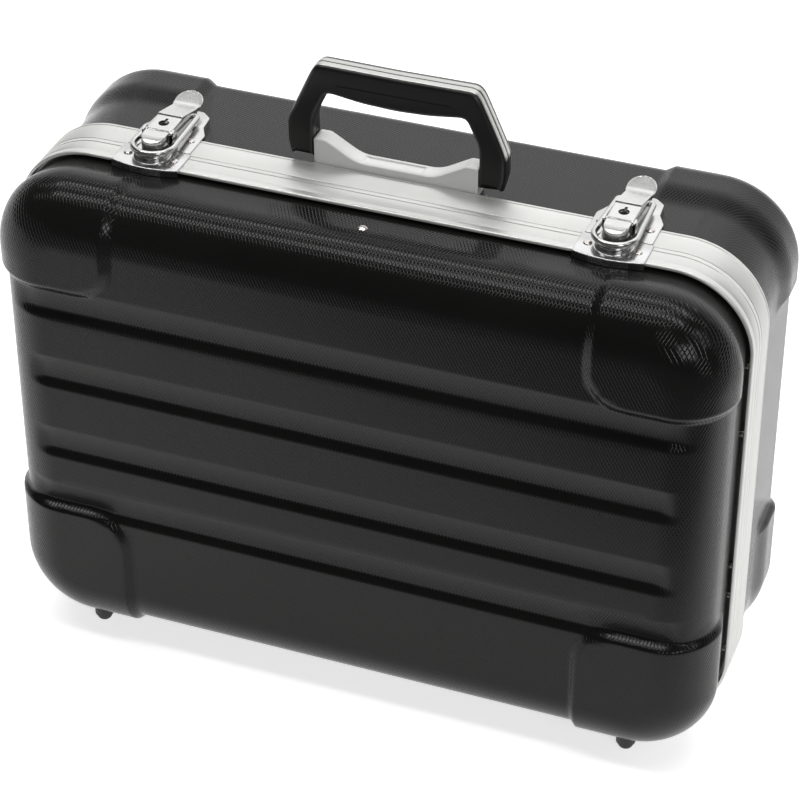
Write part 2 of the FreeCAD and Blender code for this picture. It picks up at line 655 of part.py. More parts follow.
def stay_arm(arm_x, y0, z0, y1, z1, r0, r1):
    """Flat bar with round ends between two pivots, bored r0 and r1."""
    x0 = STAY_FACE_X - arm_x
    x1 = x0 + STAY_ARM_WALL
    half = STAY_WIDTH / 2
    length = math.hypot(y1 - y0, z1 - z0)
    bar = slab_x([(-half, 0, 0), (half, 0, 0), (half, length, 0), (-half, length, 0)], x0, x1)
    bar = fuse([bar, rod_x(half, x0, x1, 0, 0), rod_x(half, x0, x1, 0, length)])
    bar = bar.cut([rod_x(r0, x0 - 1, x1 + 1, 0, 0), rod_x(r1, x0 - 1, x1 + 1, 0, length)])
    bar.rotate(ORIGIN, X_AXIS, math.degrees(math.atan2(z1 - z0, y1 - y0)) - 90)
    return moved(bar, 0, y0, z0)


def stay_elbow_pin():
    """Pin through both arms, with a flat head at each end."""
    inner = STAY_FACE_X - UPPER_ARM_X - STAY_SIDE_GAP
    outer = STAY_FACE_X - LOWER_ARM_X + STAY_ARM_WALL + 0.3
    return fuse([rod_x(STAY_STUD_R, inner, outer, PARTING_Y, STAY_ELBOW_Z),
                 rod_x(STAY_HEAD_R, inner - 0.8, inner, PARTING_Y, STAY_ELBOW_Z),
                 rod_x(STAY_HEAD_R, outer, outer + 0.7, PARTING_Y, STAY_ELBOW_Z)])


# ---- feet and shell fasteners -------------------------------------------------------------
FOOT_STEM_R = 2.2


def foot_stem(y, top):
    return rod_z(FOOT_STEM_R, 5.0, top, FOOT_X, y)


def foot(y, stem_top, outside):
    """Moulded foot, its top shaped to the shell, with a stem pushed through the shell."""
    body = Part.makeCone(4.2, 6.4, 5.0, vec(FOOT_X, y, 0), Z_AXIS)
    body = body.makeFillet(1.0, [e for e in body.Edges if e.BoundBox.ZMax < 0.01])
    body = fuse([body, rod_z(6.4, 5.0, 16.0, FOOT_X, y)]).cut(outside)
    return fuse([body, foot_stem(y, stem_top)])


def foot_nut(y, stem_top, hollow):
    """Push nut on the stem, its underside shaped to the inside of the shell."""
    nut = rod_z(5.5, 8.0, stem_top - 1.2, FOOT_X, y).common(hollow)
    return nut.cut(foot_stem(y, stem_top))


def shell_rivets():
    """Rivets through frame flange and shell, round the outline, in section depth."""
    d = 13.2
    length = FRAME_WALL + SHELL_WALL
    rivets = []
    for side in (-1, 1):
        z = MID_Z + side * (HEIGHT / 2 - FRAME_INNER)
        upright = turned(domed_rivet(length), X_AXIS, 0 if side > 0 else 180)
        for x in (-170, -85, 85, 170):
            rivets.append(moved(upright, x, d, z))
        for dz in (-110.0, 60.0, 110.0):
            rivet = turned(domed_rivet(length), Y_AXIS, 90 * side)
            rivets.append(moved(rivet, side * STAY_FACE_X, d, MID_Z + dz))
        for d_stay, dz in STAY_RIVET_SPOTS:
            rivet = turned(domed_rivet(length + STAY_PLATE), Y_AXIS, 90 * side)
            rivets.append(moved(rivet, side * (STAY_FACE_X - STAY_PLATE), d_stay, STAY_PIVOT_Z + dz))
    return rivets


def lid_rivet():
    """Visible rivet in the top of the lid shell."""
    rivet = domed_rivet(SHELL_WALL + 1, head_r=3.2, head=1.3)
    return moved(turned(rivet, X_AXIS, 180), 0, LID_RIVET_Y, SHELL_TOP_Z)


def lid_rivet_washer(hollow):
    """Washer under the rivet's tail, its upper side shaped to the inside of the shell."""
    low = SHELL_TOP_Z - SHELL_WALL - 1
    washer = rod_z(5.0, low, low + 1, 0, LID_RIVET_Y).common(hollow)
    return washer.cut(rod_z(RIVET_R, low - 1, low + 2, 0, LID_RIVET_Y))


# ---- assembly -----------------------------------------------------------------------------
LID_STEM_TOP = 20.2
BASE_STEM_TOP = 13.4


def build_shells_and_frames():
    lid_out, lid_hollow = [on_lid(s) for s in shell(LID_DEPTH, LID_EDGE_R,
                                                    LID_FRAME_DEPTH + LID_PAD_START)]
    base_out, base_hollow = [on_base(s) for s in shell(BASE_DEPTH, BASE_EDGE_R,
                                                       BASE_FRAME_DEPTH + BASE_PAD_START)]
    lid_frame = on_lid(frame(LID_FRAME_DEPTH, (4.1, 13.2), False))
    base_frame = on_base(frame(BASE_FRAME_DEPTH, (17.0,), True))
    rivets = shell_rivets()
    lid_rivets = [on_lid(r) for r in rivets]
    base_rivets = [on_base(r) for r in rivets]
    hinge_lid = on_lid(hinge_rivets())
    hinge_base = on_base(hinge_rivets())
    keeper = plate_rivets(RIVET_KEEPER)
    housing = plate_rivets(RIVET_BASE)
    lid_tools = lid_rivets + [hinge_lid, moved(keeper, LATCH_X, 0, 0), moved(keeper, -LATCH_X, 0, 0)]
    base_tools = base_rivets + [hinge_base, moved(housing, LATCH_X, 0, 0),
                                moved(housing, -LATCH_X, 0, 0)]
    lid_stems = both_sides(foot_stem(LID_FOOT_Y, LID_STEM_TOP))
    base_stems = both_sides(foot_stem(BASE_FOOT_Y, BASE_STEM_TOP))

    parts["front_shell"] = lid_out.cut(lid_hollow).cut(lid_rivets + lid_stems + [lid_rivet()])
    parts["rear_shell"] = base_out.cut(base_hollow).cut(
        base_rivets + base_stems + [handle_screws()])
    parts["front_frame"] = lid_frame.cut(lid_tools)
    parts["rear_frame"] = base_frame.cut(base_tools)
    parts["front_frame_splice"] = on_lid(splice())
    parts["rear_frame_splice"] = on_base(splice())
    parts["front_shell_rivets"] = Part.Compound(lid_rivets)
    parts["rear_shell_rivets"] = Part.Compound(base_rivets)
    parts["front_hinge_rivets"] = hinge_lid
    parts["rear_hinge_rivets"] = hinge_base
    parts["lid_rivet"] = lid_rivet()
    parts["lid_rivet_washer"] = lid_rivet_washer(lid_hollow)

    for row, y, top, outside, hollow in (
            ("front", LID_FOOT_Y, LID_STEM_TOP, lid_out, lid_hollow),
            ("rear", BASE_FOOT_Y, BASE_STEM_TOP, base_out, base_hollow)):
        feet = both_sides(foot(y, top, outside))
        parts[row + "_foot_right"] = feet[0]
        parts[row + "_foot_left"] = feet[1]
        parts[row + "_foot_nuts"] = Part.Compound(both_sides(foot_nut(y, top, hollow)))


def build_hinges():
    knuckle = HINGE_LENGTH / 5
    gap = 0.15
    starts = [-HINGE_LENGTH / 2 + i * knuckle for i in range(5)]
    spans = [(x + gap, x + knuckle - gap) for x in starts]
    base_leaf = on_base(hinge_leaf(spans[0::2], HINGE_PIN_R))
    lid_leaf = on_lid(hinge_leaf(spans[1::2], HINGE_PIN_R + RUN))
    pin = rod_x(HINGE_PIN_R, -HINGE_LENGTH / 2, HINGE_LENGTH / 2, PARTING_Y, HINGE_Z)
    for side, x in (("left", -HINGE_X), ("right", HINGE_X)):
        parts["hinge_rear_leaf_" + side] = moved(base_leaf, x, 0, 0)
        parts["hinge_front_leaf_" + side] = moved(lid_leaf, x, 0, 0)
        parts["hinge_pin_" + side] = moved(pin, x, 0, 0)


def build_latches():
    pieces = {
        "latch_housing": latch_housing(),
        "latch_keeper": latch_keeper(),
        "latch_lever": latch_lever(),
        "latch_bail": latch_bail(),
        "latch_pin": latch_pin(),
        "lock_cylinder": lock_cylinder(),
        "latch_rivets": plate_rivets(RIVET_BASE),
        "keeper_rivets": plate_rivets(RIVET_KEEPER),
    }
    for side, x in (("left", -LATCH_X), ("right", LATCH_X)):
        for name, shape in pieces.items():
            parts[name + "_" + side] = moved(shape, x, 0, 0)


def build_handle():
    blank = grip_blank()
    strips = grip_strips()
    parts["handle_bracket"] = handle_bracket()
    parts["handle_backing_plate"] = handle_backing_plate()
    parts["handle_screws"] = handle_screws()
    parts["handle_pins"] = handle_pins()
    parts["grip_front_half"] = blank.common(box(-90, 90, 0, HANDLE_Y, 300, 440))
    parts["grip_rear_half"] = blank.common(box(-90, 90, HANDLE_Y, 40, 300, 440))
    parts["grip_trim_front"] = strips[0]
    parts["grip_trim_rear"] = strips[1]
    parts["grip_screws"] = grip_screws()


def build_stays():
    base_y = PARTING_Y + STAY_OFFSET
    lid_y = PARTING_Y - STAY_OFFSET
    pieces = {
        "stay_rear_bracket": on_base(stay_bracket(LOWER_ARM_X)),
        "stay_front_bracket": on_lid(stay_bracket(UPPER_ARM_X)),
        "stay_lower_arm": stay_arm(LOWER_ARM_X, base_y, STAY_PIVOT_Z, PARTING_Y, STAY_ELBOW_Z,
                                   STAY_STUD_R + RUN, STAY_STUD_R),
        "stay_upper_arm": stay_arm(UPPER_ARM_X, lid_y, STAY_PIVOT_Z, PARTING_Y, STAY_ELBOW_Z,
                                   STAY_STUD_R + STAY_FREE_GAP, STAY_STUD_R + RUN),
        "stay_elbow_pin": stay_elbow_pin(),
    }
    for name, shape in pieces.items():
        right, left = both_sides(shape)
        parts[name + "_right"] = right
        parts[name + "_left"] = left


build_shells_and_frames()
build_hinges()
build_latches()
build_handle()
build_stays()

os.makedirs("parts", exist_ok=True)
for name, shape in parts.items():
    solids = shape.Solids
    assert solids and all(s.isValid() for s in solids), name
    (solids[0] if len(solids) == 1 else Part.Compound(solids)).exportStep("parts/" + name + ".step")
    print(name, len(solids), round(sum(s.Volume for s in solids), 1))
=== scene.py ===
"""The look of the attache case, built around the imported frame. Lengths are in millimetres."""
import math

import bmesh
import bpy
import numpy as np
from mathutils import Matrix, Vector
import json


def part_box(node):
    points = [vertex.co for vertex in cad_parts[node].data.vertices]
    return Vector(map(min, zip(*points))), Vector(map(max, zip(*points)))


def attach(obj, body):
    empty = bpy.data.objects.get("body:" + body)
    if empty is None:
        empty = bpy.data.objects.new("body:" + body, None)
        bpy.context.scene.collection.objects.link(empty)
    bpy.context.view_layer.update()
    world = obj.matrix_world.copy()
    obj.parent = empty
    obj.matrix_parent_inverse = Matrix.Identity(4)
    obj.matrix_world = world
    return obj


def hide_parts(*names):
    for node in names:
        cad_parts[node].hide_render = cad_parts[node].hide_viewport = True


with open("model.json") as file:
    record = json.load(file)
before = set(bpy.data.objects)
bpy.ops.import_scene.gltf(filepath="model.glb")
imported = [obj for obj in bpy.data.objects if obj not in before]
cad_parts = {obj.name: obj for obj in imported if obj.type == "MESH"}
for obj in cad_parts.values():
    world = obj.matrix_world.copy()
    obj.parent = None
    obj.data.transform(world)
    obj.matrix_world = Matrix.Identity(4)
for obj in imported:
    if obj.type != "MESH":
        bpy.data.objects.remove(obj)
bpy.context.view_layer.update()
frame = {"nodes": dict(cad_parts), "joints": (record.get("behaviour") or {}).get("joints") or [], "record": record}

MM = 0.001
SIDES = (("left", -1), ("right", 1))


def node_box(node):
    """Lowest and highest corner of a CAD node, in millimetres."""
    low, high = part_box(node)
    return np.array(low) / MM, np.array(high) / MM


def joint_place(name):
    for joint in frame["joints"]:
        if joint["name"] == name:
            return np.array(joint["pos_m"]) / MM
    raise KeyError(name)


# ---- sizes read from the frame ------------------------------------------------------------
LOW, HIGH = node_box("rear_frame")
HALF_W = HIGH[0]
BOTTOM_Z = LOW[2]
TOP_Z = HIGH[2]
MID_Z = (BOTTOM_Z + TOP_Z) / 2
PARTING_Y = joint_place("lid_hinge")[1]
LID_FRAME_DEPTH = PARTING_Y - node_box("front_frame")[0][1]
BASE_FRAME_DEPTH = HIGH[1] - PARTING_Y
LID_DEPTH = PARTING_Y - node_box("front_shell")[0][1]
BASE_DEPTH = node_box("rear_shell")[1][1] - PARTING_Y
LATCH_X = joint_place("latch_lever_right_pivot")[0]
PIN_Y, PIN_Z = joint_place("latch_lever_right_pivot")[1:]
BAIL_Y, BAIL_Z = joint_place("latch_bail_right_pivot")[1:]
LOCK_Y = joint_place("lock_right_turn")[1]
HANDLE_Y, HANDLE_Z = joint_place("handle_pivot")[1:]

# ---- sizes shared with the CAD model ------------------------------------------------------
CORNER_R = 53.0
CORNER_X = HALF_W - CORNER_R           # centres of the corner arcs
CORNER_DZ = TOP_Z - MID_Z - CORNER_R
SHELL_INSET = 4.0
SHELL_WALL = 3.0
SHELL_RIM = 8.0
LID_EDGE_R = 34.0
BASE_EDGE_R = 11.0
LID_PAD_START = 3.0                    # where the pads begin to rise, beyond the frame
BASE_PAD_START = 33.0
SHELL_TOP_Z = TOP_Z - SHELL_INSET
PAD_RISE = 3.7
PAD_START_X = 151.0
PAD_TOP_Z = 277.5
PAD_BOTTOM_Z = 109.5
PAD_CORNER_R = 27.0
PAD_TAPER_LENGTH = 22.0
GROOVE_Z = (262.7, 209.4, 153.5, 109.0)
GROOVE_DEPTH = 3.5
GROOVE_SLOPE = 18.0                    # reach of the gentle slope above a groove's line
GROOVE_SLOPE_POWER = 1.6
GROOVE_STEP = 6.5                      # reach of the steep step below it
GROOVE_FADE_X = (210.0, 202.0, 202.0, 210.0)   # where each groove begins to run out
GROOVE_FADE = 14.0                     # length over which it does
PAD_TOP_RAMP = 6.2
PAD_BOTTOM_RAMP = 4.2
PLATE_WALL = 1.2
PLATE_TOP = TOP_Z + PLATE_WALL
LATCH_TOP = 362.8


# ---- mesh helpers -------------------------------------------------------------------------
def make(name, verts, faces, material, uv=None):
    """Mesh object from vertices in millimetres. uv holds one pair per vertex."""
    mesh = bpy.data.meshes.new(name)
    mesh.from_pydata((np.asarray(verts, float) * MM).tolist(), [], [list(f) for f in faces])
    mesh.validate()
    if uv is not None:
        layer = mesh.uv_layers.new(name="sheet")
        corner = np.empty(len(mesh.loops), int)
        mesh.loops.foreach_get("vertex_index", corner)
        layer.data.foreach_set("uv", np.asarray(uv, float)[corner].ravel())
    mesh.polygons.foreach_set("use_smooth", [True] * len(mesh.polygons))
    mesh.materials.append(material)
    piece = bpy.data.objects.new(name, mesh)
    bpy.context.scene.collection.objects.link(piece)
    return piece


def fit(piece, body, slot, *nodes):
    """The piece rides on a body and stands for these CAD nodes. slot is not used."""
    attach(piece, body)
    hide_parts(*nodes)


def grid_faces(rows, columns, wrap=False):
    """Quads of a rows x columns grid of vertices. wrap joins the last column to the first."""
    faces = []
    for i in range(rows - 1):
        for j in range(columns if wrap else columns - 1):
            k = (j + 1) % columns
            faces.append((i * columns + j, i * columns + k,
                          (i + 1) * columns + k, (i + 1) * columns + j))
    return faces


class Solid:
    """Collects closed lofts and prisms into one mesh."""

    def __init__(self):
        self.verts = []
        self.faces = []
        self.uv = []

    def add(self, verts, faces, uv):
        start = len(self.verts)
        self.verts += [tuple(v) for v in verts]
        self.faces += [tuple(start + i for i in face) for face in faces]
        self.uv += uv
        return self

    def loft(self, sections):
        """Closed sections with the same number of points, joined in turn and capped."""
        sections = np.asarray(sections, float)
        count, size = sections.shape[:2]
        faces = grid_faces(count, size, wrap=True)
        faces.append(tuple(range(size))[::-1])
        faces.append(tuple(range((count - 1) * size, count * size)))
        along = np.cumsum(np.r_[0, np.linalg.norm(np.diff(sections.mean(1), axis=0), axis=1)])
        uv = [(u, v) for u in along for v in np.arange(size) * 1.0]
        return self.add(sections.reshape(-1, 3), faces, uv)

    def prism(self, outline, low, high, axis="z"):
        """Outline extruded between two values of one coordinate."""
        return self.loft([[place(p, q, value, axis) for p, q in outline] for value in (low, high)])

    def turned(self, profile, centre, axis=(0, 0, 1), steps=40):
        """Profile (radius, height) turned about an axis through a centre."""
        turn = Vector((0, 0, 1)).rotation_difference(Vector(axis)).to_matrix()
        rings = []
        for radius, height in profile:
            ring = [Vector((max(radius, 0.01) * math.cos(a), max(radius, 0.01) * math.sin(a), height))
                    for a in np.arange(steps) * math.tau / steps]
            rings.append([turn @ p + Vector(centre) for p in ring])
        return self.loft(rings)

    def build(self, name, material):
        piece = make(name, self.verts, self.faces, material, self.uv)
        fix_normals(piece)
        return piece


def fix_normals(piece):
    """Faces look outwards."""
    work = bmesh.new()
    work.from_mesh(piece.data)
    bmesh.ops.recalc_face_normals(work, faces=work.faces)
    work.to_mesh(piece.data)
    work.free()


def place(p, q, value, axis):
    """A point of a plane outline: (x, y) at z, (x, z) at y, or (y, z) at x."""
    return {"z": (p, q, value), "y": (p, value, q), "x": (value, p, q)}[axis]


def rounded(corners, steps=6):
    """Closed outline with each corner (x, y, radius) turned into an arc."""
    points = []
    count = len(corners)
    for i, (x, y, radius) in enumerate(corners):
        here = np.array((x, y))
        if radius <= 0:
            points.append(here)
            continue
        back = np.array(corners[i - 1][:2]) - here
        ahead = np.array(corners[(i + 1) % count][:2]) - here
        back = back / np.linalg.norm(back)
        ahead = ahead / np.linalg.norm(ahead)
        half = math.acos(np.clip(back @ ahead, -1, 1)) / 2
        inward = (back + ahead) / np.linalg.norm(back + ahead)
        centre = here + inward * radius / math.sin(half)
        first = here + back * radius / math.tan(half) - centre
        last = here + ahead * radius / math.tan(half) - centre
        a0 = math.atan2(first[1], first[0])
        sweep = math.atan2(last[1], last[0]) - a0
        sweep = (sweep + math.pi) % math.tau - math.pi
        points += [centre + radius * np.array((math.cos(a0 + sweep * t), math.sin(a0 + sweep * t)))
                   for t in np.linspace(0, 1, steps + 1)]
    return np.array(points)


def mirrored(half):
    """A symmetric outline from its right-hand half, listed from one end to the other."""
    return list(half) + [(-x, y, r) for x, y, r in reversed(half)]


def shifted(outline, inset):
    """The outline moved inwards along its corner normals."""
    outline = np.asarray(outline)
    back = outline - np.roll(outline, 1, axis=0)
    ahead = np.roll(outline, -1, axis=0) - outline
    normal = unit(back) + unit(ahead)
    normal = unit(np.c_[-normal[:, 1], normal[:, 0]])
    x, y = outline.T
    area = np.sum(x * np.roll(y, -1) - np.roll(x, -1) * y)
    return outline + normal * inset * np.sign(area)


def unit(vectors):
    return vectors / np.maximum(np.linalg.norm(vectors, axis=-1, keepdims=True), 1e-9)


def quarter_turn(count):
    """Angles from 0 to a right angle."""
    return np.linspace(0, math.pi / 2, count)


def ease(t):
    """Smooth step from 0 to 1."""
    t = np.clip(t, 0, 1)
    return t * t * (3 - 2 * t)


# ---- materials ----------------------------------------------------------------------------
class Paint:
    """A Principled material with a few node shortcuts."""

    def __init__(self, name, color, metallic, roughness, **extra):
        self.material = bpy.data.materials.new(name)
        self.material.use_nodes = True
        self.tree = self.material.node_tree
        self.shader = self.tree.nodes["Principled BSDF"]
        self.shader.inputs["Base Color"].default_value = (*color, 1)
        self.shader.inputs["Metallic"].default_value = metallic
        self.shader.inputs["Roughness"].default_value = roughness
        for key, value in extra.items():
            self.shader.inputs[key.replace("_", " ")].default_value = value

    def node(self, kind, **settings):
        node = self.tree.nodes.new(kind)
        for key, value in settings.items():
            setattr(node, key, value)
        return node

    def link(self, source, target):
        self.tree.links.new(source, target)

    def math(self, operation, a, b=None):
        node = self.node("ShaderNodeMath", operation=operation)
        for socket, value in zip(node.inputs, (a, b)):
            if value is None:
                continue
            if isinstance(value, (int, float)):
                socket.default_value = value
            else:
                self.link(value, socket)
        return node.outputs[0]

    def place(self, source="Object", scale=(1, 1, 1)):
        coords = self.node("ShaderNodeTexCoord")
        mapping = self.node("ShaderNodeMapping")
        mapping.inputs["Scale"].default_value = scale
        self.link(coords.outputs[source], mapping.inputs["Vector"])
        return mapping.outputs[0]

    def noise(self, vector, scale, detail=4.0):
        node = self.node("ShaderNodeTexNoise")
        node.inputs["Scale"].default_value = scale
        node.inputs["Detail"].default_value = detail
        self.link(vector, node.inputs["Vector"])
        return node.outputs["Fac"]

    def span(self, value, low, high):
        """Maps 0.25..0.75, where noise mostly lies, to low..high."""
        node = self.node("ShaderNodeMapRange")
        node.inputs["From Min"].default_value = 0.25
        node.inputs["From Max"].default_value = 0.75
        node.inputs["To Min"].default_value = low
        node.inputs["To Max"].default_value = high
        self.link(value, node.inputs["Value"])
        return node.outputs[0]

    def vary_roughness(self, value, low, high):
        self.link(self.span(value, low, high), self.shader.inputs["Roughness"])

    def vary_color(self, value, low, high):
        mix = self.node("ShaderNodeMix", data_type="RGBA")
        mix.inputs["A"].default_value = (*low, 1)
        mix.inputs["B"].default_value = (*high, 1)
        self.link(self.span(value, 0, 1), mix.inputs["Factor"])
        self.link(mix.outputs["Result"], self.shader.inputs["Base Color"])

    def bump(self, height, distance):
        node = self.node("ShaderNodeBump")
        node.inputs["Distance"].default_value = distance * MM
        node.inputs["Strength"].default_value = 1.0
        self.link(height, node.inputs["Height"])
        self.link(node.outputs[0], self.shader.inputs["Normal"])


GRAIN_WIDTH = 2.3         # one diamond of the embossed grain
GRAIN_HEIGHT = 4.3
GRAIN_DEPTH = 0.17        # of a diamond with no flat top
GRAIN_FLAT = 0.45         # share of that depth at which the flat top begins


def abs_material():
    """Black ABS sheet with an embossed diamond grain laid out in sheet coordinates."""
    paint = Paint("black_abs", (0.008, 0.008, 0.008), 0.0, 0.3, Specular_IOR_Level=0.22)
    uv = paint.node("ShaderNodeTexCoord").outputs["UV"]
    split = paint.node("ShaderNodeSeparateXYZ")
    paint.link(uv, split.inputs[0])
    across = paint.math("MULTIPLY", split.outputs[0], math.pi / GRAIN_WIDTH)
    along = paint.math("MULTIPLY", split.outputs[1], math.pi / GRAIN_HEIGHT)
    lines = [paint.math("ABSOLUTE", paint.math("SINE", paint.math(way, across, along)))
             for way in ("ADD", "SUBTRACT")]
    diamonds = paint.math("MINIMUM", paint.math("MINIMUM", *lines), GRAIN_FLAT)
    paint.bump(diamonds, GRAIN_DEPTH)
    object_place = paint.place()
    cloud = paint.noise(object_place, 9.0)
    paint.vary_roughness(paint.noise(object_place, 60.0), 0.12, 0.16)
    paint.vary_color(cloud, (0.0065, 0.0061, 0.0058), (0.0095, 0.009, 0.0086))
    return paint.material


STREAKS = (2.0, 400.0)    # per metre, along and across the metal
FLECKS = 900.0            # per metre, the orange peel of the plating
PEEL_DEPTH = 0.0012
MOULD_GRAIN = 2000.0
MOULD_DEPTH = 0.02
CAST_GRAIN = 1500.0
CAST_DEPTH = 0.015


def brushed_material(name, color, roughness, depth=0.012, metallic=1.0):
    """Metal with fine streaks along the first texture axis."""
    paint = Paint(name, color, metallic, roughness)
    streaks = paint.noise(paint.place("UV", (STREAKS[0] * MM, STREAKS[1] * MM, MM)), 1.0, 3.0)
    cloud = paint.noise(paint.place(), 25.0)
    paint.bump(streaks, depth)
    paint.vary_roughness(streaks, roughness * 0.8, roughness * 1.25)
    paint.vary_color(cloud, tuple(c * 0.93 for c in color), color)
    return paint.material


def plated_material(name, color, roughness):
    """Plated steel: bright, with slight orange peel and handling marks."""
    paint = Paint(name, color, 1.0, roughness)
    where = paint.place()
    paint.bump(paint.noise(where, FLECKS, 2.0), PEEL_DEPTH)
    paint.vary_roughness(paint.noise(where, 120.0), roughness * 0.8, roughness * 1.25)
    paint.vary_color(paint.noise(where, 40.0), tuple(c * 0.9 for c in color), color)
    return paint.material


def moulded_material(name, color, roughness):
    """Moulded plastic or rubber with a fine matt texture."""
    paint = Paint(name, color, 0.0, roughness, Specular_IOR_Level=0.5)
    where = paint.place()
    paint.bump(paint.noise(where, MOULD_GRAIN, 2.0), MOULD_DEPTH)
    paint.vary_roughness(paint.noise(where, 80.0), roughness * 0.85, roughness * 1.15)
    paint.vary_color(paint.noise(where, 30.0), color, tuple(c * 1.5 for c in color))
    return paint.material


def cast_material(name, color, roughness):
    """Satin coated casting."""
    paint = Paint(name, color, 0.1, roughness)
    where = paint.place()
    paint.bump(paint.noise(where, CAST_GRAIN, 3.0), CAST_DEPTH)
    paint.vary_roughness(paint.noise(where, 60.0), roughness * 0.9, roughness * 1.1)
    paint.vary_color(paint.noise(where, 20.0), tuple(c * 0.95 for c in color), color)
    return paint.material


MATERIALS = {
    "shell_abs": abs_material(),
    "frame_aluminium": brushed_material("satin_aluminium", (0.66, 0.66, 0.64), 0.4, depth=0.006,
                                        metallic=0.6),
    "latch_chrome": plated_material("latch_plating", (0.54, 0.54, 0.53), 0.22),
    "keeper_chrome": plated_material("keeper_plating", (0.54, 0.54, 0.54), 0.2),
    # painted shade: the lock face is near-black and matt so the keyhole reads as a shadowed recess
    "lock_metal": moulded_material("lock_face_painted_shade", (0.004, 0.004, 0.004), 0.8),
    "bracket_metal": cast_material("bracket_coating", (0.80, 0.80, 0.79), 0.34),
    "grip_plastic": moulded_material("grip_plastic", (0.0045, 0.004, 0.004), 0.36),
    "grip_trim_metal": brushed_material("trim_metal", (0.50, 0.50, 0.48), 0.3),
    "foot_plastic": moulded_material("foot_rubber", (0.015, 0.015, 0.015), 0.55),
    "rivet_steel": plated_material("rivet_plating", (0.60, 0.57, 0.55), 0.24),
    "hinge_steel": plated_material("hinge_plating", (0.74, 0.74, 0.75), 0.25),
    "stay_steel": plated_material("stay_plating", (0.72, 0.72, 0.73), 0.28),
    "plain_steel": plated_material("zinc_plating", (0.66, 0.67, 0.69), 0.32),
}

for row in frame["record"]["subparts"]:
    cad_mesh = frame["nodes"][row["node"]].data
    cad_mesh.materials.clear()
    cad_mesh.materials.append(MATERIALS[row["material_slot"]])


def sharp_by_angle(piece, angle):
    piece.data.set_sharp_from_angle(angle=math.radians(angle))


def complete(solid, name, slot, angle, body, *nodes):
    """Builds the solid's piece, sharp at edges over an angle, and fits it to its body."""
    piece = solid.build(name, MATERIALS[slot])
    sharp_by_angle(piece, angle)
    fit(piece, body, slot, *nodes)


# ---- shells -------------------------------------------------------------------------------
def spaced(low, high, coarse, zones, fine):
    """Positions from low to high, coarse apart, but fine apart inside the zones."""
    values = [low]
    while values[-1] < high - 1e-6:
        here = values[-1]
        inside = any(a <= here < b for a, b in zones)
        ahead = min([a for a, b in zones if a > here], default=high)
        step = fine if inside else min(coarse, max(ahead - here, fine))
        values.append(min(here + step, high))
    if values[-1] - values[-2] < fine / 2:
        values.pop(-2)
    return np.array(values)


class Outline:
    """Points round the case's outline: a corner-arc centre or core point and a normal each."""

    def __init__(self, columns, rows, arc_steps):
        self.base = []
        self.normal = []
        step = math.pi / 4 / arc_steps
        quarter = (
            ([(x, MID_Z + CORNER_DZ) for x in columns], 0),
            ([(CORNER_X, z) for z in rows[::-1]], 1),
            ([(x, MID_Z - CORNER_DZ) for x in columns[::-1]], 2),
            ([(-CORNER_X, z) for z in rows], 3),
        )
        self.side_steps = []
        for points, turn in quarter:
            side = [(points[0], math.pi / 4 - i * step) for i in range(arc_steps)]
            side += [(p, 0.0) for p in points]
            side += [(points[-1], -(i + 1) * step) for i in range(arc_steps - 1)]
            self.side_steps.append(len(side))
            for point, lean in side:
                angle = math.pi / 2 - turn * math.pi / 2 + lean
                self.base.append(point)
                self.normal.append((math.cos(angle), math.sin(angle)))
        self.base = np.array(self.base)
        self.normal = np.array(self.normal)

    def at(self, inset):
        return self.base + self.normal * (CORNER_R - inset)


def pad_amount(x, z):
    """1 inside the four raised corner regions and 0 outside, with a ramp round each."""
    amounts = []
    for rise, ramp in ((z - PAD_TOP_Z, PAD_TOP_RAMP), (PAD_BOTTOM_Z - z, PAD_BOTTOM_RAMP)):
        q = np.stack([PAD_CORNER_R - (np.abs(x) - PAD_START_X), PAD_CORNER_R - rise])
        outside = np.hypot(*np.maximum(q, 0))
        distance = outside + np.minimum(np.maximum(q[0], q[1]), 0) - PAD_CORNER_R
        amounts.append(np.clip(-distance / ramp, 0, 1))
    return np.maximum(*amounts)


def groove_amount(x, z):
    """1 on a groove's line: a gentle slope above it and a steep step below it."""
    total = np.zeros_like(z)
    for line, fade_x in zip(GROOVE_Z, GROOVE_FADE_X):
        t = z - line
        slope = 1 - np.clip(t / GROOVE_SLOPE, 0, 1) ** GROOVE_SLOPE_POWER
        shape = np.where(t > 0, slope, 1 - ease(-t / GROOVE_STEP))
        total = np.maximum(total, shape * (1 - ease((np.abs(x) - fade_x) / GROOVE_FADE)))
    return total


def relief(plain, normal, depth, pad_start):
    """How far the shell's surface stands out of the plain rounded tray."""
    taper = ease((depth - pad_start) / PAD_TAPER_LENGTH)
    pad = pad_amount(plain[..., 0], plain[..., 1]) * taper
    facing = normal[..., 2] ** 2
    groove = groove_amount(plain[..., 0], plain[..., 1]) * facing
    return PAD_RISE * pad - GROOVE_DEPTH * groove * (1 - pad)


EDGE_STEPS = 22           # points round the rounded edge of the tray
WALL_STEP = 2.6           # distance between points down its wall
CORNER_SQUEEZE = 0.22     # how much the grain shortens round the corners


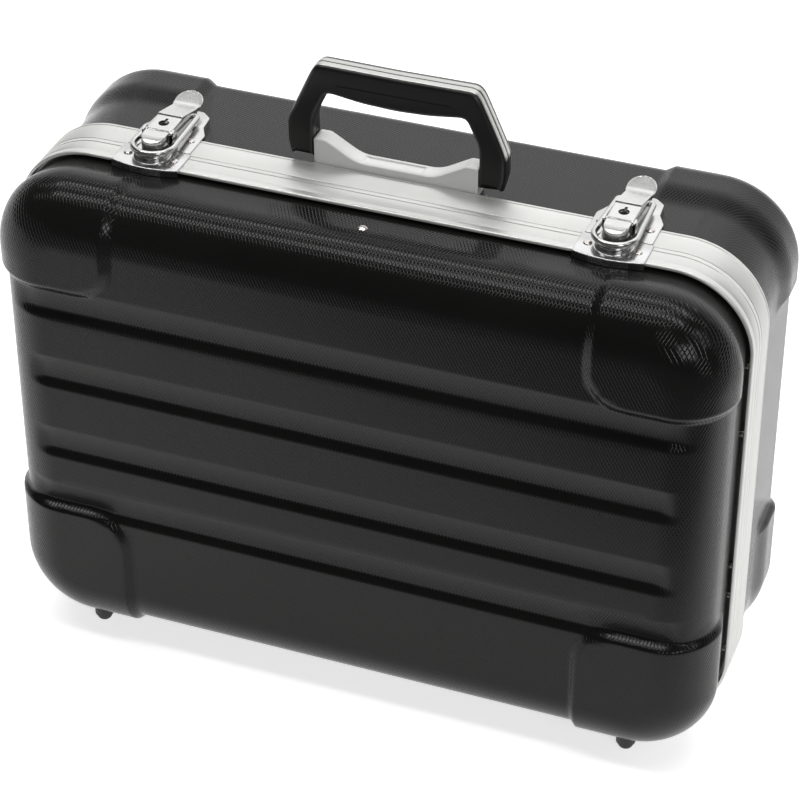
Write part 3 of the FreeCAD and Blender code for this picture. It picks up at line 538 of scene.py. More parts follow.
def shell_surface(depth, edge_r, outline):
    """Plain positions (x, z, depth), normals and sheet coordinates of the tray's outside."""
    face_d = depth - PAD_RISE
    face_inset = SHELL_INSET + edge_r
    rim = outline.at(face_inset)
    n_top, n_right, n_bottom = outline.side_steps[:3]
    top = rim[:n_top + 1]
    right = rim[n_top:n_top + n_right + 1]
    bottom = rim[n_top + n_right:n_top + n_right + n_bottom + 1][::-1]
    left = np.vstack([rim[n_top + n_right + n_bottom:], rim[:1]])[::-1]
    u = ((top[:, 0] - top[0, 0]) / (top[-1, 0] - top[0, 0]))[None, :, None]
    v = ((left[:, 1] - left[0, 1]) / (left[-1, 1] - left[0, 1]))[:, None, None]
    corners = ((1 - u) * (1 - v) * top[0] + u * (1 - v) * top[-1]
               + (1 - u) * v * bottom[0] + u * v * bottom[-1])
    face = ((1 - v) * top[None] + v * bottom[None] + (1 - u) * left[:, None]
            + u * right[:, None] - corners)
    n_rows, n_columns = face.shape[:2]
    points = [np.dstack([face, np.full(face.shape[:2], face_d)]).reshape(-1, 3)]
    normals = [np.tile((0.0, 0.0, 1.0), (n_rows * n_columns, 1))]
    sheets = [face.reshape(-1, 2)]
    index = np.arange(n_rows * n_columns).reshape(n_rows, n_columns)
    ring_index = np.r_[index[0, :-1], index[:-1, -1], index[-1, :0:-1], index[:0:-1, 0]]

    lean = quarter_turn(EDGE_STEPS)[1:]
    wall_steps = max(int((face_d - edge_r - SHELL_RIM) / WALL_STEP), 4)
    stations = [(face_inset - edge_r * math.sin(a), face_d - edge_r * (1 - math.cos(a)),
                 math.sin(a), math.cos(a), edge_r * a) for a in lean]
    stations += [(SHELL_INSET, d, 1.0, 0.0, edge_r * math.pi / 2 + face_d - edge_r - d)
                 for d in np.linspace(face_d - edge_r, SHELL_RIM, wall_steps + 1)[1:]]
    n = outline.normal
    squeeze = 1 - CORNER_SQUEEZE * np.sin(2 * np.arctan2(np.abs(n[:, 1]), np.abs(n[:, 0]))) ** 2
    faces = [tuple(f) for f in grid_faces(n_rows, n_columns)]
    previous = ring_index
    count = n_rows * n_columns
    for inset, d, out, forward, travelled in stations:
        ring = outline.at(inset)
        points.append(np.c_[ring, np.full(len(ring), d)])
        normals.append(np.c_[n * out, np.full(len(ring), forward)])
        sheets.append(rim + n * (travelled * squeeze)[:, None])
        current = np.arange(count, count + len(ring))
        count += len(ring)
        ahead = np.roll(np.arange(len(ring)), -1)
        faces += list(zip(previous, current, current[ahead], previous[ahead]))
        previous = current
    return (np.vstack(points), np.vstack(normals), np.vstack(sheets), faces, previous)


def make_shell(name, depth, edge_r, pad_start, facing, body, *nodes):
    """Moulded shell: outside and inside surfaces joined at the rim. facing is -1 for the lid."""
    band, inside = 9.0, 4.0            # finely divided outside and inside a pad's edge
    below, above = 8.0, 19.0           # and to each side of a groove's line
    pad_x = [(s * PAD_START_X - band, s * PAD_START_X + band) for s in (-1, 1)]
    columns = spaced(-CORNER_X, CORNER_X, coarse=5.0, zones=pad_x, fine=1.2)
    zones = [(z - below, z + above) for z in GROOVE_Z]
    zones += [(PAD_TOP_Z - inside, PAD_TOP_Z + band), (PAD_BOTTOM_Z - band, PAD_BOTTOM_Z + inside)]
    rows = spaced(MID_Z - CORNER_DZ, MID_Z + CORNER_DZ, coarse=4.0, zones=zones, fine=1.1)
    outline = Outline(columns, rows, arc_steps=12)
    plain, normal, sheet, faces, rim = shell_surface(depth, edge_r, outline)
    stand = relief(plain, normal, plain[:, 2], pad_start)[:, None]
    verts = []
    for offset in (0.0, -SHELL_WALL):
        moved = plain + normal * (stand + offset)
        verts.append(np.c_[moved[:, 0], PARTING_Y + facing * moved[:, 2], moved[:, 1]])
    count = len(plain)
    inner = [tuple(count + i for i in reversed(face)) for face in faces]
    ahead = np.roll(rim, -1)
    lip = [(a, a + count, b + count, b) for a, b in zip(rim, ahead)]
    everything = [tuple(int(i) for i in f) for f in faces + inner + lip]
    piece = make(name, np.vstack(verts), everything, MATERIALS["shell_abs"],
                 np.vstack([sheet, sheet]))
    fix_normals(piece)
    fit(piece, body, "shell_abs", *nodes)


make_shell("front_shell_moulding", LID_DEPTH, LID_EDGE_R, LID_FRAME_DEPTH + LID_PAD_START,
           -1, "lid", "front_shell")
make_shell("rear_shell_moulding", BASE_DEPTH, BASE_EDGE_R, BASE_FRAME_DEPTH + BASE_PAD_START,
           1, "base", "rear_shell")


# ---- frames -------------------------------------------------------------------------------
# place, width and depth of the fine lines round each frame
LID_LINES = ((4.1, 0.9, 0.4), (13.4, 1.6, 0.25))
BASE_LINES = ((17.0, 0.9, 0.35),)


def frame_profile(depth, lines, with_tongue):
    """Section of the edge frame as (inset, depth) points, from the parting edge outwards."""
    gap = 0.15
    wall = 1.8
    web = 6.4
    edge = 0.5                         # rounding beside the parting line
    lip = 1.5                          # radius of the outer edge
    tongue_out, tongue_in, tongue_reach, bevel = 4.0, 5.6, -2.0, 0.3
    inner = SHELL_INSET + SHELL_WALL
    flange = inner + wall
    points = [(wall, gap), (edge, gap), (0.3 * edge, gap + 0.24 * edge), (0.0, gap + edge)]
    for line, width, deep in lines:
        points += [(0.0, line - width / 2), (deep, line - width / 6), (deep, line + width / 6),
                   (0.0, line + width / 2)]
    points += [(lip - lip * math.cos(a), depth - lip + lip * math.sin(a)) for a in quarter_turn(7)]
    points += [(wall, depth), (wall, SHELL_RIM), (inner, SHELL_RIM), (inner, depth - 1)]
    points += [(flange, depth - 1), (flange, gap), (inner, gap), (inner, web)]
    if with_tongue:
        points += [(tongue_in, web), (tongue_in, tongue_reach + bevel),
                   (tongue_in - bevel, tongue_reach), (tongue_out + bevel, tongue_reach),
                   (tongue_out, tongue_reach + bevel), (tongue_out, web)]
    points += [(wall, web)]
    return np.array(points)


def make_frame(name, profile, facing, body, *nodes):
    """The section swept round the outline, with a butt joint at the middle of the bottom."""
    joint = 0.1
    arc = quarter_turn(25)
    path = [((joint, MID_Z - CORNER_DZ), -math.pi / 2)]
    for x, z, start in ((1, -1, -math.pi / 2), (1, 1, 0), (-1, 1, math.pi / 2), (-1, -1, math.pi)):
        path += [((x * CORNER_X, MID_Z + z * CORNER_DZ), start + a) for a in arc]
    path += [((-joint, MID_Z - CORNER_DZ), 1.5 * math.pi)]
    sections = []
    for (x, z), angle in path:
        reach = CORNER_R - profile[:, 0]
        sections.append(np.c_[x + reach * math.cos(angle), PARTING_Y + facing * profile[:, 1],
                              z + reach * math.sin(angle)])
    solid = Solid().loft(sections)
    centre = np.array(sections)[:, 0]
    along = np.cumsum(np.r_[0, np.linalg.norm(np.diff(centre, axis=0), axis=1)])
    across = np.cumsum(np.r_[0, np.linalg.norm(np.diff(profile, axis=0), axis=1)])
    solid.uv = [(u, v) for u in along for v in across]
    complete(solid, name, "frame_aluminium", 30, body, *nodes)


make_frame("front_frame_profile", frame_profile(LID_FRAME_DEPTH, LID_LINES, False), -1,
           "lid", "front_frame")
make_frame("rear_frame_profile", frame_profile(BASE_FRAME_DEPTH, BASE_LINES, True), 1,
           "base", "rear_frame")


# ---- handle -------------------------------------------------------------------------------
GRIP_LOW, GRIP_HIGH = node_box("grip_front_half")
GRIP_FRONT_Y = GRIP_LOW[1]
GRIP_BACK_Y = node_box("grip_rear_half")[1][1]
GRIP_LOW_Z = GRIP_LOW[2]
GRIP_TOP_Z = GRIP_HIGH[2]
GRIP_OUTER_X = GRIP_HIGH[0]
GRIP_INNER_X = 54.0
GRIP_FOOT_R = 7.25        # round end of each leg, about the pivot
GRIP_BULGE = 1.2          # how far its inner side swells at the top
GRIP_LEG_Z = 361.0
GRIP_FRONT_R = 2.4        # rounding of its edges, in front, behind and at the seam
GRIP_BACK_R = 1.4
SEAM_R = 0.35
CROWN = 0.8
EDGE_TOP_Z = GRIP_TOP_Z - CROWN        # top of the grip at its front and rear edges


def smooth_path(keys, per_span, width):
    """A polyline through the keys, its corners rounded by averaging over a share of a span."""
    keys = np.asarray(keys, float)
    first = 2 * keys[0] - keys[1]
    last = 2 * keys[-1] - keys[-2]
    keys = np.vstack([first, keys, last])
    t = np.linspace(-1, len(keys) - 2, (len(keys) - 1) * per_span + 1)
    line = np.stack([np.interp(t, np.arange(-1, len(keys) - 1), keys[:, i]) for i in (0, 1)], 1)
    window = np.hanning(max(int(per_span * width), 1) + 2)[1:-1]
    window /= window.sum()
    smooth = np.stack([np.convolve(line[:, i], window, "same") for i in (0, 1)], 1)
    return smooth[per_span:-per_span]


def grip_paths():
    """Outer and inner edge of the grip, foot to foot, with matching points."""
    outer = [(0, EDGE_TOP_Z), (26, EDGE_TOP_Z + 0.3), (52, EDGE_TOP_Z + 0.6), (GRIP_OUTER_X, 376),
             (GRIP_OUTER_X, GRIP_LEG_Z), (67.5, GRIP_LOW_Z)]
    inner = [(0, 394.9), (22, 395.9), (45.5, 399.2), (GRIP_INNER_X, 380),
             (GRIP_INNER_X, GRIP_LEG_Z), (GRIP_INNER_X, GRIP_LOW_Z)]
    paths = []
    for half, width in ((outer, 0.62), (inner, 0.7)):
        whole = [(-x, z) for x, z in half[:0:-1]] + half
        paths.append(smooth_path(whole, 16, width))
    return paths


def grip_section(y_low, y_high, seam_low, seam_high):
    """Section of one half as (share from inner to outer edge, crown, y) points."""
    quarter = quarter_turn(6)
    points = []
    corners = ((0, y_high, seam_high), (1, y_high, seam_high), (1, y_low, seam_low),
               (0, y_low, seam_low))
    for number, (share, y, is_seam) in enumerate(corners):
        radius = SEAM_R if is_seam else (GRIP_FRONT_R if y < HANDLE_Y else GRIP_BACK_R)
        inward = 1 if share == 0 else -1
        down = -1 if y == y_high else 1
        for a in (quarter[::-1] if number % 2 == 0 else quarter):
            points.append((share, inward * radius * (1 - math.sin(a)),
                           y + down * radius * (1 - math.cos(a))))
    return points


def crown(y):
    """How far the grip's back stands above its edges at this depth."""
    half = (GRIP_BACK_Y - GRIP_FRONT_Y) / 2
    return 1 - ((y - HANDLE_Y) / half) ** 2


def grip_loft(section):
    """The section carried from foot to foot between the grip's outer and inner edges."""
    outer, inner = grip_paths()
    sections = []
    for o, i in zip(outer, inner):
        along = (o - i) / np.linalg.norm(o - i)
        top = ease((o[1] - HANDLE_Z) / (EDGE_TOP_Z - HANDLE_Z))
        rows = []
        for share, shift, y in section:
            base = o if share else i
            rise = CROWN * crown(y) if share else 0.0
            bulge = 0.0 if share else -GRIP_BULGE * crown(y) * top
            x, z = base + along * (shift + rise + bulge)
            low = HANDLE_Z - math.sqrt(max(GRIP_FOOT_R ** 2 - (y - HANDLE_Y) ** 2, 0.3))
            rows.append((x, y, max(z, low)))
        sections.append(rows)
    return sections


def make_grip():
    """The two halves of the grip, and the raised line on the front one."""
    left, right, ridge_z, half = -38, 35, 405.0, 0.4
    seam_gap = 0.03
    front = Solid().loft(grip_loft(grip_section(GRIP_FRONT_Y, HANDLE_Y - seam_gap, False, True)))
    ridge = rounded([(left, ridge_z - half, half), (right, ridge_z - half, half),
                     (right, ridge_z + half, half), (left, ridge_z + half, half)])
    front.prism(ridge, GRIP_FRONT_Y - 0.4, GRIP_FRONT_Y + 1, "y")
    complete(front, "grip_front", "grip_plastic", 50, "handle", "grip_front_half")
    rear = Solid().loft(grip_loft(grip_section(HANDLE_Y + seam_gap, GRIP_BACK_Y, True, False)))
    complete(rear, "grip_rear", "grip_plastic", 50, "handle", "grip_rear_half")


# name, node, and reach in y of the two strips
TRIMS = (("trim_front_strip", "grip_trim_front", 8.0, 12.6),
         ("trim_rear_strip", "grip_trim_rear", 13.2, 17.6))


def make_trims():
    """Two metal strips let into the back of the grip, with slightly lower edges."""
    proud, edge, sunk = 0.12, -0.25, -0.9
    count = 7
    for name, node, y0, y1 in TRIMS:
        ys = np.linspace(y0, y1, count)
        section = [(1, proud if 0 < i < count - 1 else edge, y) for i, y in enumerate(ys)]
        section += [(1, sunk, y) for y in ys[::-1]]
        rows = np.array(grip_loft(section))
        keep = rows[:, :, 2].min(1) > node_box(node)[0][2]
        complete(Solid().loft(rows[keep]), name, "grip_trim_metal", 40, "handle", node)


def bracket_profile():
    """Half of the saddle's top line: low middle, straight slope and flat ear."""
    low, high = 353.1, 365.0
    slope_start, slope_end, ear_end = 25.5, 46.0, 60
    return rounded([(0, low, 0), (slope_start, low, 24), (slope_end, high, 5),
                    (ear_end, high, 0)], 12)


PANEL_X = (-22.5, 17.0)   # shallow panel in the middle of the saddle
PANEL_INSET = 2.4
PANEL_SLOPE = 0.35
PANEL_DIP = 0.7


def make_bracket():
    """Cast saddle: rounded front and rear edges, raised ears, and a shallow panel on top."""
    low, high = node_box("handle_bracket")
    half = high[0]
    front, back = low[1], high[1]
    profile = bracket_profile()
    xs = np.r_[np.linspace(-half, -48, 6), np.linspace(-47.5, 47.5, 191), np.linspace(48, half, 6)]
    edge, run = 0.8, 0.8
    sections = []
    for x in xs:
        end = 0.5 * (1 - ease((half - abs(x)) / run))
        top = np.interp(abs(x), profile[:, 0], profile[:, 1]) - end
        arc = [(end + edge * (1 - math.cos(a)), top - edge * (1 - math.sin(a)))
               for a in quarter_turn(5)]
        dip = PANEL_DIP * ease((x - PANEL_X[0]) / run) * ease((PANEL_X[1] - x) / run)
        side = [(end, low[2])] + arc + [(PANEL_INSET, top), (PANEL_INSET + PANEL_SLOPE, top - dip)]
        row = [(x, front + inset, z) for inset, z in side]
        row += [(x, back - inset, z) for inset, z in side[::-1]]
        sections.append(row)
    complete(Solid().loft(sections), "handle_saddle", "bracket_metal", 40, "base", "handle_bracket")


make_grip()
make_trims()
make_bracket()


# ---- latches, rivets and feet -------------------------------------------------------------
PLATE_HALF = 21.0
PLATE_FRONT_Y = -13.7
KEEPER_HALF = 22.3
EAR_IN = 8.8
EAR_OUT = 10.0
LEVER_HALF = 8.4
LEVER_WALL = 1.2
KEYHOLE_R = 3.4
KEYHOLE_SLOT = 0.9, 5.7   # half width, and reach behind the lock's axis
LUG_Z = 356.0             # underside of the parts that stand on the plates
RIVET_X = 15.5
RIVET_R = 2.8
RIVET_RISE = 1.2
RIVET_LENGTH = 3.0
SHANK_R = 1.6


def cut(piece, solid):
    """Takes the solid's volume out of the piece."""
    tool = solid.build("tool", piece.data.materials[0])
    boolean = piece.modifiers.new("cut", "BOOLEAN")
    boolean.operation = "DIFFERENCE"
    boolean.solver = "EXACT"
    boolean.object = tool
    bpy.context.view_layer.update()
    evaluated = piece.evaluated_get(bpy.context.evaluated_depsgraph_get())
    mesh = bpy.data.meshes.new_from_object(evaluated)
    piece.modifiers.clear()
    piece.data = mesh
    bpy.data.objects.remove(tool)


def slab(plan, low, top, edge=0.8, rings=()):
    """Sections of a plate: straight sides, then an edge rounded by its radius, then inner rings.
    top is a height, or a function of the plan's points that gives one."""
    height = top if callable(top) else (lambda p: np.full(len(p), float(top)))
    sections = [np.c_[plan, np.full(len(plan), low)]]
    for a in quarter_turn(5):
        sections.append(np.c_[shifted(plan, edge * (1 - math.cos(a))),
                              height(plan) - edge * (1 - math.sin(a))])
    for inset in rings:
        ring = shifted(plan, inset)
        sections.append(np.c_[ring, height(ring)])
    return sections


def rectangle(x0, x1, y0, y1):
    return [(x0, y0), (x1, y0), (x1, y1), (x0, y1)]


def moved_x(solid, x):
    solid.verts = [(v[0] + x, v[1], v[2]) for v in solid.verts]
    return solid


def make_housing(side, x):
    """Base plate with its turned-down rim, the ears of the lever pivot and the fixed nose."""
    plan = rounded(mirrored([(PLATE_HALF, PLATE_FRONT_Y, 1), (PLATE_HALF, 10, 5), (16.2, 19, 6),
                             (15.2, 31, 3), (9, 36.5, 4)]))
    solid = Solid().loft(slab(plan, TOP_Z, PLATE_TOP))
    behind = plan[:, 1] > PARTING_Y + BASE_FRAME_DEPTH + 0.4
    skirt = np.vstack([plan[behind], shifted(plan, PLATE_WALL)[behind][::-1]])
    solid.prism(skirt, SHELL_TOP_Z + 0.1, TOP_Z + 0.1)
    ear = rounded([(PLATE_FRONT_Y, TOP_Z, 0), (-7, TOP_Z, 0), (-7, 359.5, 3), (-9.5, 362.9, 2),
                   (-15.2, 362.6, 1), (-15.2, LUG_Z, 0), (PLATE_FRONT_Y, LUG_Z, 0)])
    for low, high in ((EAR_IN, EAR_OUT), (-EAR_OUT, -EAR_IN)):
        solid.prism(ear, low, high, "x")
    nose_front, nose_back, nose_edge = -27.2, -14.35, 0.6
    nose = rounded([(-7.9, nose_back + nose_edge, 0), (7.9, nose_back + nose_edge, 0),
                    (7.5, nose_front, 7.3), (-7.5, nose_front, 7.3)], 12)

    def nose_top(points):
        return np.interp(points[:, 1], [-27.4, -26.0, -24.0, -20.5],
                         [361.0, 361.6, 362.2, LATCH_TOP])

    sections = np.array(slab(nose, LUG_Z, nose_top, nose_edge, (1.6, 3.2, 5.0, 6.6)))
    sections[..., 1] = np.minimum(sections[..., 1], nose_back)
    solid.loft(sections)
    for s in (-1, 1):
        solid.prism(rectangle(s * 6.3, s * 10.0, -15.2, -14.4), LUG_Z, 361.6)
    solid.prism(rectangle(5.9, 6.9, LOCK_Y - 2, LOCK_Y + 2), PLATE_TOP - 0.1, 355.2)
    complete(moved_x(solid, x), "housing_" + side, "latch_chrome", 35, "base",
             "latch_housing_" + side)


def make_keeper(side, x):
    """Keeper plate: bowed and folded over the frame's edge in front, with a round boss."""
    half = KEEPER_HALF
    back = PARTING_Y - 0.3
    front, bow = -35.3, -3.5
    rib_depth, rib_width, rib_reach = 0.16, 1.45, 13.5

    def front_edge(xs):
        return front + bow * (1 - (xs / half) ** 2)

    xs = np.linspace(-half, half, 41)
    plan = np.vstack([[(half, back), (-half, back)], np.c_[xs, front_edge(xs)]])
    solid = Solid().loft(slab(plan, TOP_Z, PLATE_TOP))
    xs = np.linspace(-half, half, 301)
    ribs = rib_depth * np.cos(math.tau * xs / rib_width) * ease((rib_reach - np.abs(xs)) / 2)
    lip = np.c_[xs, front_edge(xs) + ribs]
    inner = np.c_[xs * (1 - PLATE_WALL / half), lip[:, 1] - ribs + PLATE_WALL]
    solid.prism(np.vstack([lip, inner[::-1]]), SHELL_TOP_Z + 0.4, TOP_Z + 0.35)
    centre_y, radius, boss_top = -22.6, 11.3, 355.0
    reach = math.acos((back - centre_y) / radius)
    boss = np.array([(radius * math.sin(a), centre_y + radius * math.cos(a))
                     for a in np.linspace(reach, math.tau - reach, 41)])
    cove = 0.9
    skirt = [np.c_[shifted(boss, -cove * (1 - math.sin(a))),
                   np.full(len(boss), PLATE_TOP + cove * (1 - math.cos(a)))]
             for a in quarter_turn(4)]
    skirt = [np.c_[s[:, 0], np.minimum(s[:, 1], back), s[:, 2]] for s in skirt]
    root = np.c_[skirt[0][:, :2], np.full(len(boss), PLATE_TOP - 0.3)]
    solid.loft([root] + skirt + slab(boss, PLATE_TOP + cove, boss_top, 1.4, (2.6, 4.0))[1:])
    complete(moved_x(solid, x), "keeper_" + side, "keeper_chrome", 35, "lid",
             "latch_keeper_" + side)


EYE_R = 1.9               # rolled eye round the lever's pivot
LEVER_EDGE = 0.9
TAB_HALF = 9.3
TAB_Y = 28.4              # where the side flanges end
TAB_END_Y = 42.4
TAB_DISH = 0.15


def lever_top(y):
    if y < PIN_Y:
        return PIN_Z + math.sqrt(max(EYE_R ** 2 - (PIN_Y - y) ** 2, 0.0))
    return np.interp(y, [-14.0, 4.4, 5.0, 6.4, 8.2, 26, 28, 29, 30, 31.5, TAB_END_Y],
                     [LATCH_TOP, LATCH_TOP, LATCH_TOP + 0.8, LATCH_TOP + 0.8,
                      LATCH_TOP + 0.3, 358.3, 357.9, 357.85, 357.9, 358.15, 360.9])


def lever_half_width(y):
    width = np.interp(y, [-14, 27.0, 29.5], [LEVER_HALF, LEVER_HALF, TAB_HALF])
    past = np.clip((y - (TAB_END_Y - TAB_HALF)) / TAB_HALF, 0, 1)
    return width * math.sqrt(max(1 - past ** 2, 0.0005))


def lever_foot(y):
    """Lower edge of the lever's side flanges, or of the tab behind them."""
    if y < PIN_Y:
        return 2 * PIN_Z - lever_top(y)
    under = lever_top(y) - LEVER_WALL
    if y >= TAB_Y:
        return under
    return min(under, np.interp(y, [-14, -10.2, -8.2, -6.0, 25.5, TAB_Y],
                                [361, 357.0, 353.5, 352.2, 352.2, 356.9]))


def lever_section(y):
    """Closed section of the lever at one depth, as (x, z) points."""
    half = lever_half_width(y)
    top = lever_top(y)
    r = min(LEVER_EDGE, half * 0.6)
    foot = min(lever_foot(y), top - r - 0.02)
    dish = TAB_DISH * ease((y - 29) / 6)
    outer = [(half, foot)]
    outer += [(half - r * (1 - math.cos(a)), top - r * (1 - math.sin(a))) for a in quarter_turn(5)]
    outer += [(half * share, top - dish * (1 - share ** 2)) for share in (0.75, 0.5, 0.25)]
    inner = max(half - LEVER_WALL, half * 0.3)
    under = top - LEVER_WALL
    loop = outer + [(0.0, top - dish)] + [(-p, q) for p, q in outer[::-1]]
    loop += [(-inner, foot), (-inner * 0.98, under - dish * 0.2), (0.0, under - dish),
             (inner * 0.98, under - dish * 0.2), (inner, foot)]
    return loop


def make_lever(side, x):
    """Folded lever: a channel over the lock, then a curled finger tab."""
    stations = np.r_[PIN_Y - EYE_R * np.cos(quarter_turn(7)), np.linspace(-11, 4, 12),
                     np.linspace(4.4, 8.6, 12), np.linspace(9.5, 25, 12),
                     np.linspace(25.5, 41, 30), np.linspace(41.3, TAB_END_Y - 0.005, 10)]
    solid = Solid().loft([[(p, y, q) for p, q in lever_section(y)] for y in stations])
    solid.turned([(EYE_R, -LEVER_HALF), (EYE_R, LEVER_HALF)], (0, PIN_Y, PIN_Z), (1, 0, 0), 24)
    piece = moved_x(solid, x).build("lever_" + side, MATERIALS["latch_chrome"])
    half, reach = KEYHOLE_SLOT
    above = LATCH_TOP + 2.2
    cut(piece, Solid().turned([(KEYHOLE_R, 359.0), (KEYHOLE_R, above)], (x, LOCK_Y, 0)))
    cut(piece, Solid().prism(rectangle(x - half, x + half, LOCK_Y, LOCK_Y + reach), 360.5, above))
    sharp_by_angle(piece, 35)
    fit(piece, "latch_lever_" + side, "latch_chrome", "latch_lever_" + side)


def make_bail(side, x):
    """Bent wire loop with its two ends turned into the lever's flanges."""
    leg, end, front, front_y, bend = 11.2, 6.4, 13.0, -42.0, 2.2
    wire, pin = 1.9, 1.3               # radii of the loop and of its two ends
    half = [(end, 0.0), (leg - bend, 0.0)]
    half += [(leg - bend + bend * math.sin(a), -bend + bend * math.cos(a)) for a in quarter_turn(8)]
    half += [(leg + (front - leg) * t, -bend + (front_y + bend) * t) for t in (0.33, 0.66)]
    half += [(front * math.cos(a), front_y - front * math.sin(a)) for a in quarter_turn(20)]
    points = half[:-1] + [(-px, py) for px, py in half[::-1]]
    slope = math.radians(-2.3)
    path = np.array([(px, BAIL_Y + py * math.cos(slope), BAIL_Z + py * math.sin(slope))
                     for px, py in points])
    tangent = unit(np.gradient(path, axis=0))
    up = np.array((0, -math.sin(slope), math.cos(slope)))
    sections = []
    for here, ahead in zip(path, tangent):
        aside = np.cross(ahead, up)
        in_lever = abs(here[1] - BAIL_Y) < 0.05 and abs(here[0]) < leg - bend - 0.1
        radius = pin if in_lever else wire
        sections.append([here + radius * (math.cos(a) * aside + math.sin(a) * up)
                         for a in np.arange(16) * math.tau / 16])
    complete(moved_x(Solid().loft(sections), x), "bail_" + side, "latch_chrome", 60,
             "latch_bail_" + side, "latch_bail_" + side)


def make_rivets(name, node, spots, body):
    """Domed rivets in their spots, each with a shank and a flat tail."""
    tail = RIVET_LENGTH
    profile = [(RIVET_R * 0.96, -tail - 0.8), (RIVET_R, -tail - 0.7), (RIVET_R, -tail - 0.1),
               (SHANK_R, -tail), (SHANK_R, 0.0)]
    profile += [(RIVET_R * math.cos(a), RIVET_RISE * math.sin(a)) for a in quarter_turn(7)]
    solid = Solid()
    for spot in spots:
        solid.turned(profile, spot, steps=24)
    complete(solid, name, "rivet_steel", 40, body, node)


FOOT_DOME = 4.2           # rise of the sole from its middle to its rim
FOOT_EDGE_Z = 5.6
FOOT_EDGE = 1.2
FOOT_STEM_R = 2.2
FOOT_TIP_R = 1.4


def make_feet():
    """Round feet with a domed sole, each on its stem."""
    for row, body in (("front", "lid"), ("rear", "base")):
        for side, _ in SIDES:
            node = f"{row}_foot_{side}"
            low, high = node_box(node)
            centre = (low + high) / 2
            radius = (high[0] - low[0]) / 2
            rim = radius - FOOT_EDGE
            top = BOTTOM_Z + SHELL_INSET + 2.5
            profile = [(rim * math.sin(a), FOOT_DOME * (1 - math.cos(a))) for a in quarter_turn(9)]
            profile += [(radius, FOOT_EDGE_Z), (radius, top), (FOOT_STEM_R, top),
                        (FOOT_STEM_R, high[2] - 1), (FOOT_TIP_R, high[2])]
            solid = Solid().turned(profile, (centre[0], centre[1], 0), steps=48)
            complete(solid, f"{row}_foot_dome_{side}", "foot_plastic", 50, body, node)


# name, node, y and body of the two rivets on each plate
RIVET_PAIRS = (("housing_rivets", "latch_rivets", 0.5, "base"),
               ("keeper_rivets_domed", "keeper_rivets", -25.0, "lid"))

make_feet()

for side, sign in SIDES:
    latch_x = sign * LATCH_X
    make_housing(side, latch_x)
    make_keeper(side, latch_x)
    make_lever(side, latch_x)
    make_bail(side, latch_x)
    for name, node, y, body in RIVET_PAIRS:
        spots = [(latch_x + s * RIVET_X, y, PLATE_TOP) for s in (-1, 1)]
        make_rivets(f"{name}_{side}", f"{node}_{side}", spots, body)


# ---- studio -------------------------------------------------------------------------------
CAMERA_PLACE = Vector((529.8, -1395.9, 1268.1)) * MM
CAMERA_FORWARD = Vector((-0.28461, 0.75771, -0.58726))
CAMERA_RIGHT = Vector((0.93675, 0.34999, -0.00242))
CAMERA_LENS = 128.95      # mm, on a 36 mm wide sensor


def add_camera():
    data = bpy.data.cameras.new("camera")
    data.lens = CAMERA_LENS
    data.sensor_width = 36.0
    data.clip_end = 20.0
    camera = bpy.data.objects.new("camera", data)
    up = CAMERA_RIGHT.cross(CAMERA_FORWARD).normalized()
    right = CAMERA_FORWARD.cross(up).normalized()
    turn = Matrix((right, up, -CAMERA_FORWARD.normalized())).transposed()
    camera.matrix_world = Matrix.Translation(CAMERA_PLACE) @ turn.to_4x4()
    bpy.context.scene.collection.objects.link(camera)
    bpy.context.scene.camera = camera


OBJECT_M = (0, 0, 0.2)
# name, size in metres, watts, place and target
LIGHTS = (
    ("top_softbox", (3.2, 1.8), 13, (-0.2, 1.75, 2.1), (-0.2, 1.4, 0)),
    ("rear_strip", (2.6, 0.26), 13, (-0.2, 0.37, 2.1), (-0.2, 0.37, 0)),
    ("front_strip", (2.6, 0.26), 14, (-0.2, -0.39, 2.1), (-0.2, -0.39, 0)),
    ("right_softbox", (0.6, 0.8), 2.6, (1.8, -0.3, 1.5), OBJECT_M),
    ("front_softbox", (0.8, 0.8), 10.5, (1.6, -1.7, 1.3), OBJECT_M),
    ("backdrop_wash", (3.0, 0.8), 38, (0.0, 1.4, 2.4), (0.0, 4.0, 1.8)),
)
WORLD_STRENGTH = 0.09


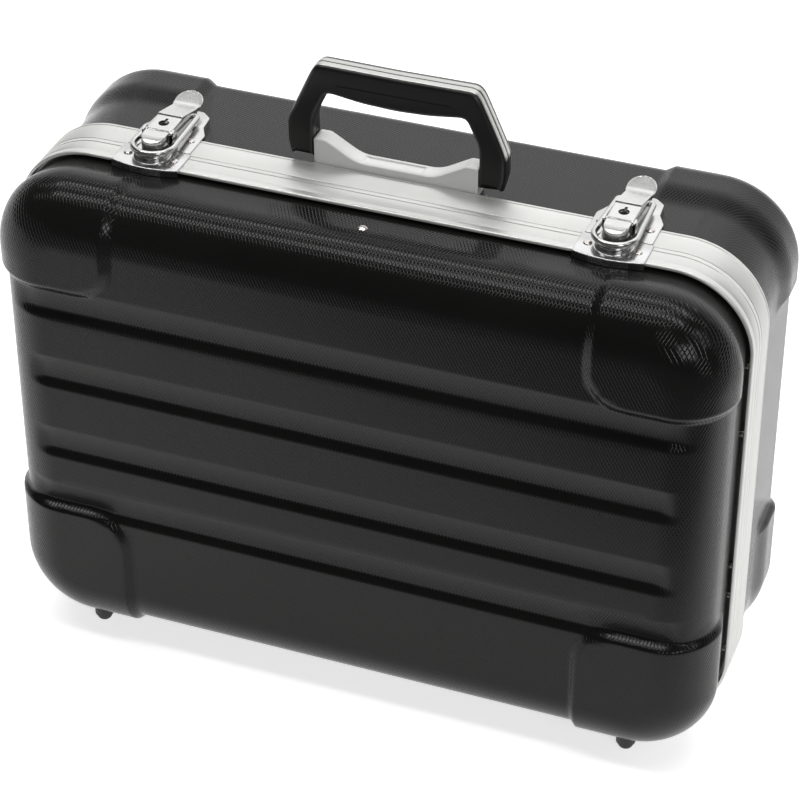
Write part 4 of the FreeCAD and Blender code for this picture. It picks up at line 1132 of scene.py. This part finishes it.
def add_light(name, size, power, place_m, target_m):
    data = bpy.data.lights.new(name, "AREA")
    data.shape = "RECTANGLE"
    data.size, data.size_y = size
    data.energy = power
    light = bpy.data.objects.new(name, data)
    light.location = place_m
    aim = Vector(target_m) - Vector(place_m)
    light.rotation_euler = aim.to_track_quat("-Z", "Y").to_euler()
    bpy.context.scene.collection.objects.link(light)


PAINTED_SHADE_WAY = (0.45, -0.9, 0.0)           # painted shade: the floor's colour and glow darken this way
# painted shade: where along that way the floor goes from pale to dark
PAINTED_SHADE_RANGE = (("From Min", 0.24), ("From Max", 0.46), ("To Min", 0.8), ("To Max", 0.16))
PAINTED_GLOW = 0.85                            # painted light: the floor glows by this share of its painted-shade colour
FLOOR_REACH = 6000.0
BEND_START_Y = 2500.0
BEND_R = 1500.0


def add_stage():
    """Floor that curves up into a backdrop, with painted shade and painted light: its colour darkens towards the
    front, and it glows to wash out the case's shadow.
    """
    paint = Paint("floor_painted_shade_and_glow", (0.9, 0.9, 0.9), 0.0, 0.7, Specular_IOR_Level=0.1)
    paint.vary_roughness(paint.noise(paint.place(), 3.0), 0.65, 0.75)
    ahead = paint.node("ShaderNodeVectorMath", operation="DOT_PRODUCT")
    paint.link(paint.place(), ahead.inputs[0])
    ahead.inputs[1].default_value = PAINTED_SHADE_WAY
    painted_shade_ramp = paint.node("ShaderNodeMapRange", interpolation_type="SMOOTHSTEP")
    for key, value in PAINTED_SHADE_RANGE:
        painted_shade_ramp.inputs[key].default_value = value
    paint.link(ahead.outputs["Value"], painted_shade_ramp.inputs["Value"])
    # painted shade: the floor's colour darkens away from the case towards the front
    paint.link(painted_shade_ramp.outputs[0], paint.shader.inputs["Base Color"])
    paint.shader.inputs["Emission Color"].default_value = (1, 1, 1, 1)
    # painted light: the floor glows with its faded colour, washing out the case's shadow
    paint.link(paint.math("MULTIPLY", painted_shade_ramp.outputs[0], PAINTED_GLOW), paint.shader.inputs["Emission Strength"])
    rows = [(-FLOOR_REACH, 0), (BEND_START_Y, 0)]
    rows += [(BEND_START_Y + BEND_R * math.sin(a), BEND_R * (1 - math.cos(a)))
             for a in quarter_turn(24)[1:]]
    rows += [(BEND_START_Y + BEND_R, FLOOR_REACH)]
    verts = [(x, y, z) for y, z in rows for x in (-FLOOR_REACH, FLOOR_REACH)]
    floor = make("floor", verts, grid_faces(len(rows), 2), paint.material)


def add_world(strength):
    world = bpy.data.worlds.new("studio")
    world.use_nodes = True
    background = world.node_tree.nodes["Background"]
    background.inputs["Color"].default_value = (1, 1, 1, 1)
    background.inputs["Strength"].default_value = strength
    bpy.context.scene.world = world


add_camera()
add_stage()
add_world(WORLD_STRENGTH)
for light in LIGHTS:
    add_light(*light)

bpy.context.scene.view_settings.view_transform = "Standard"
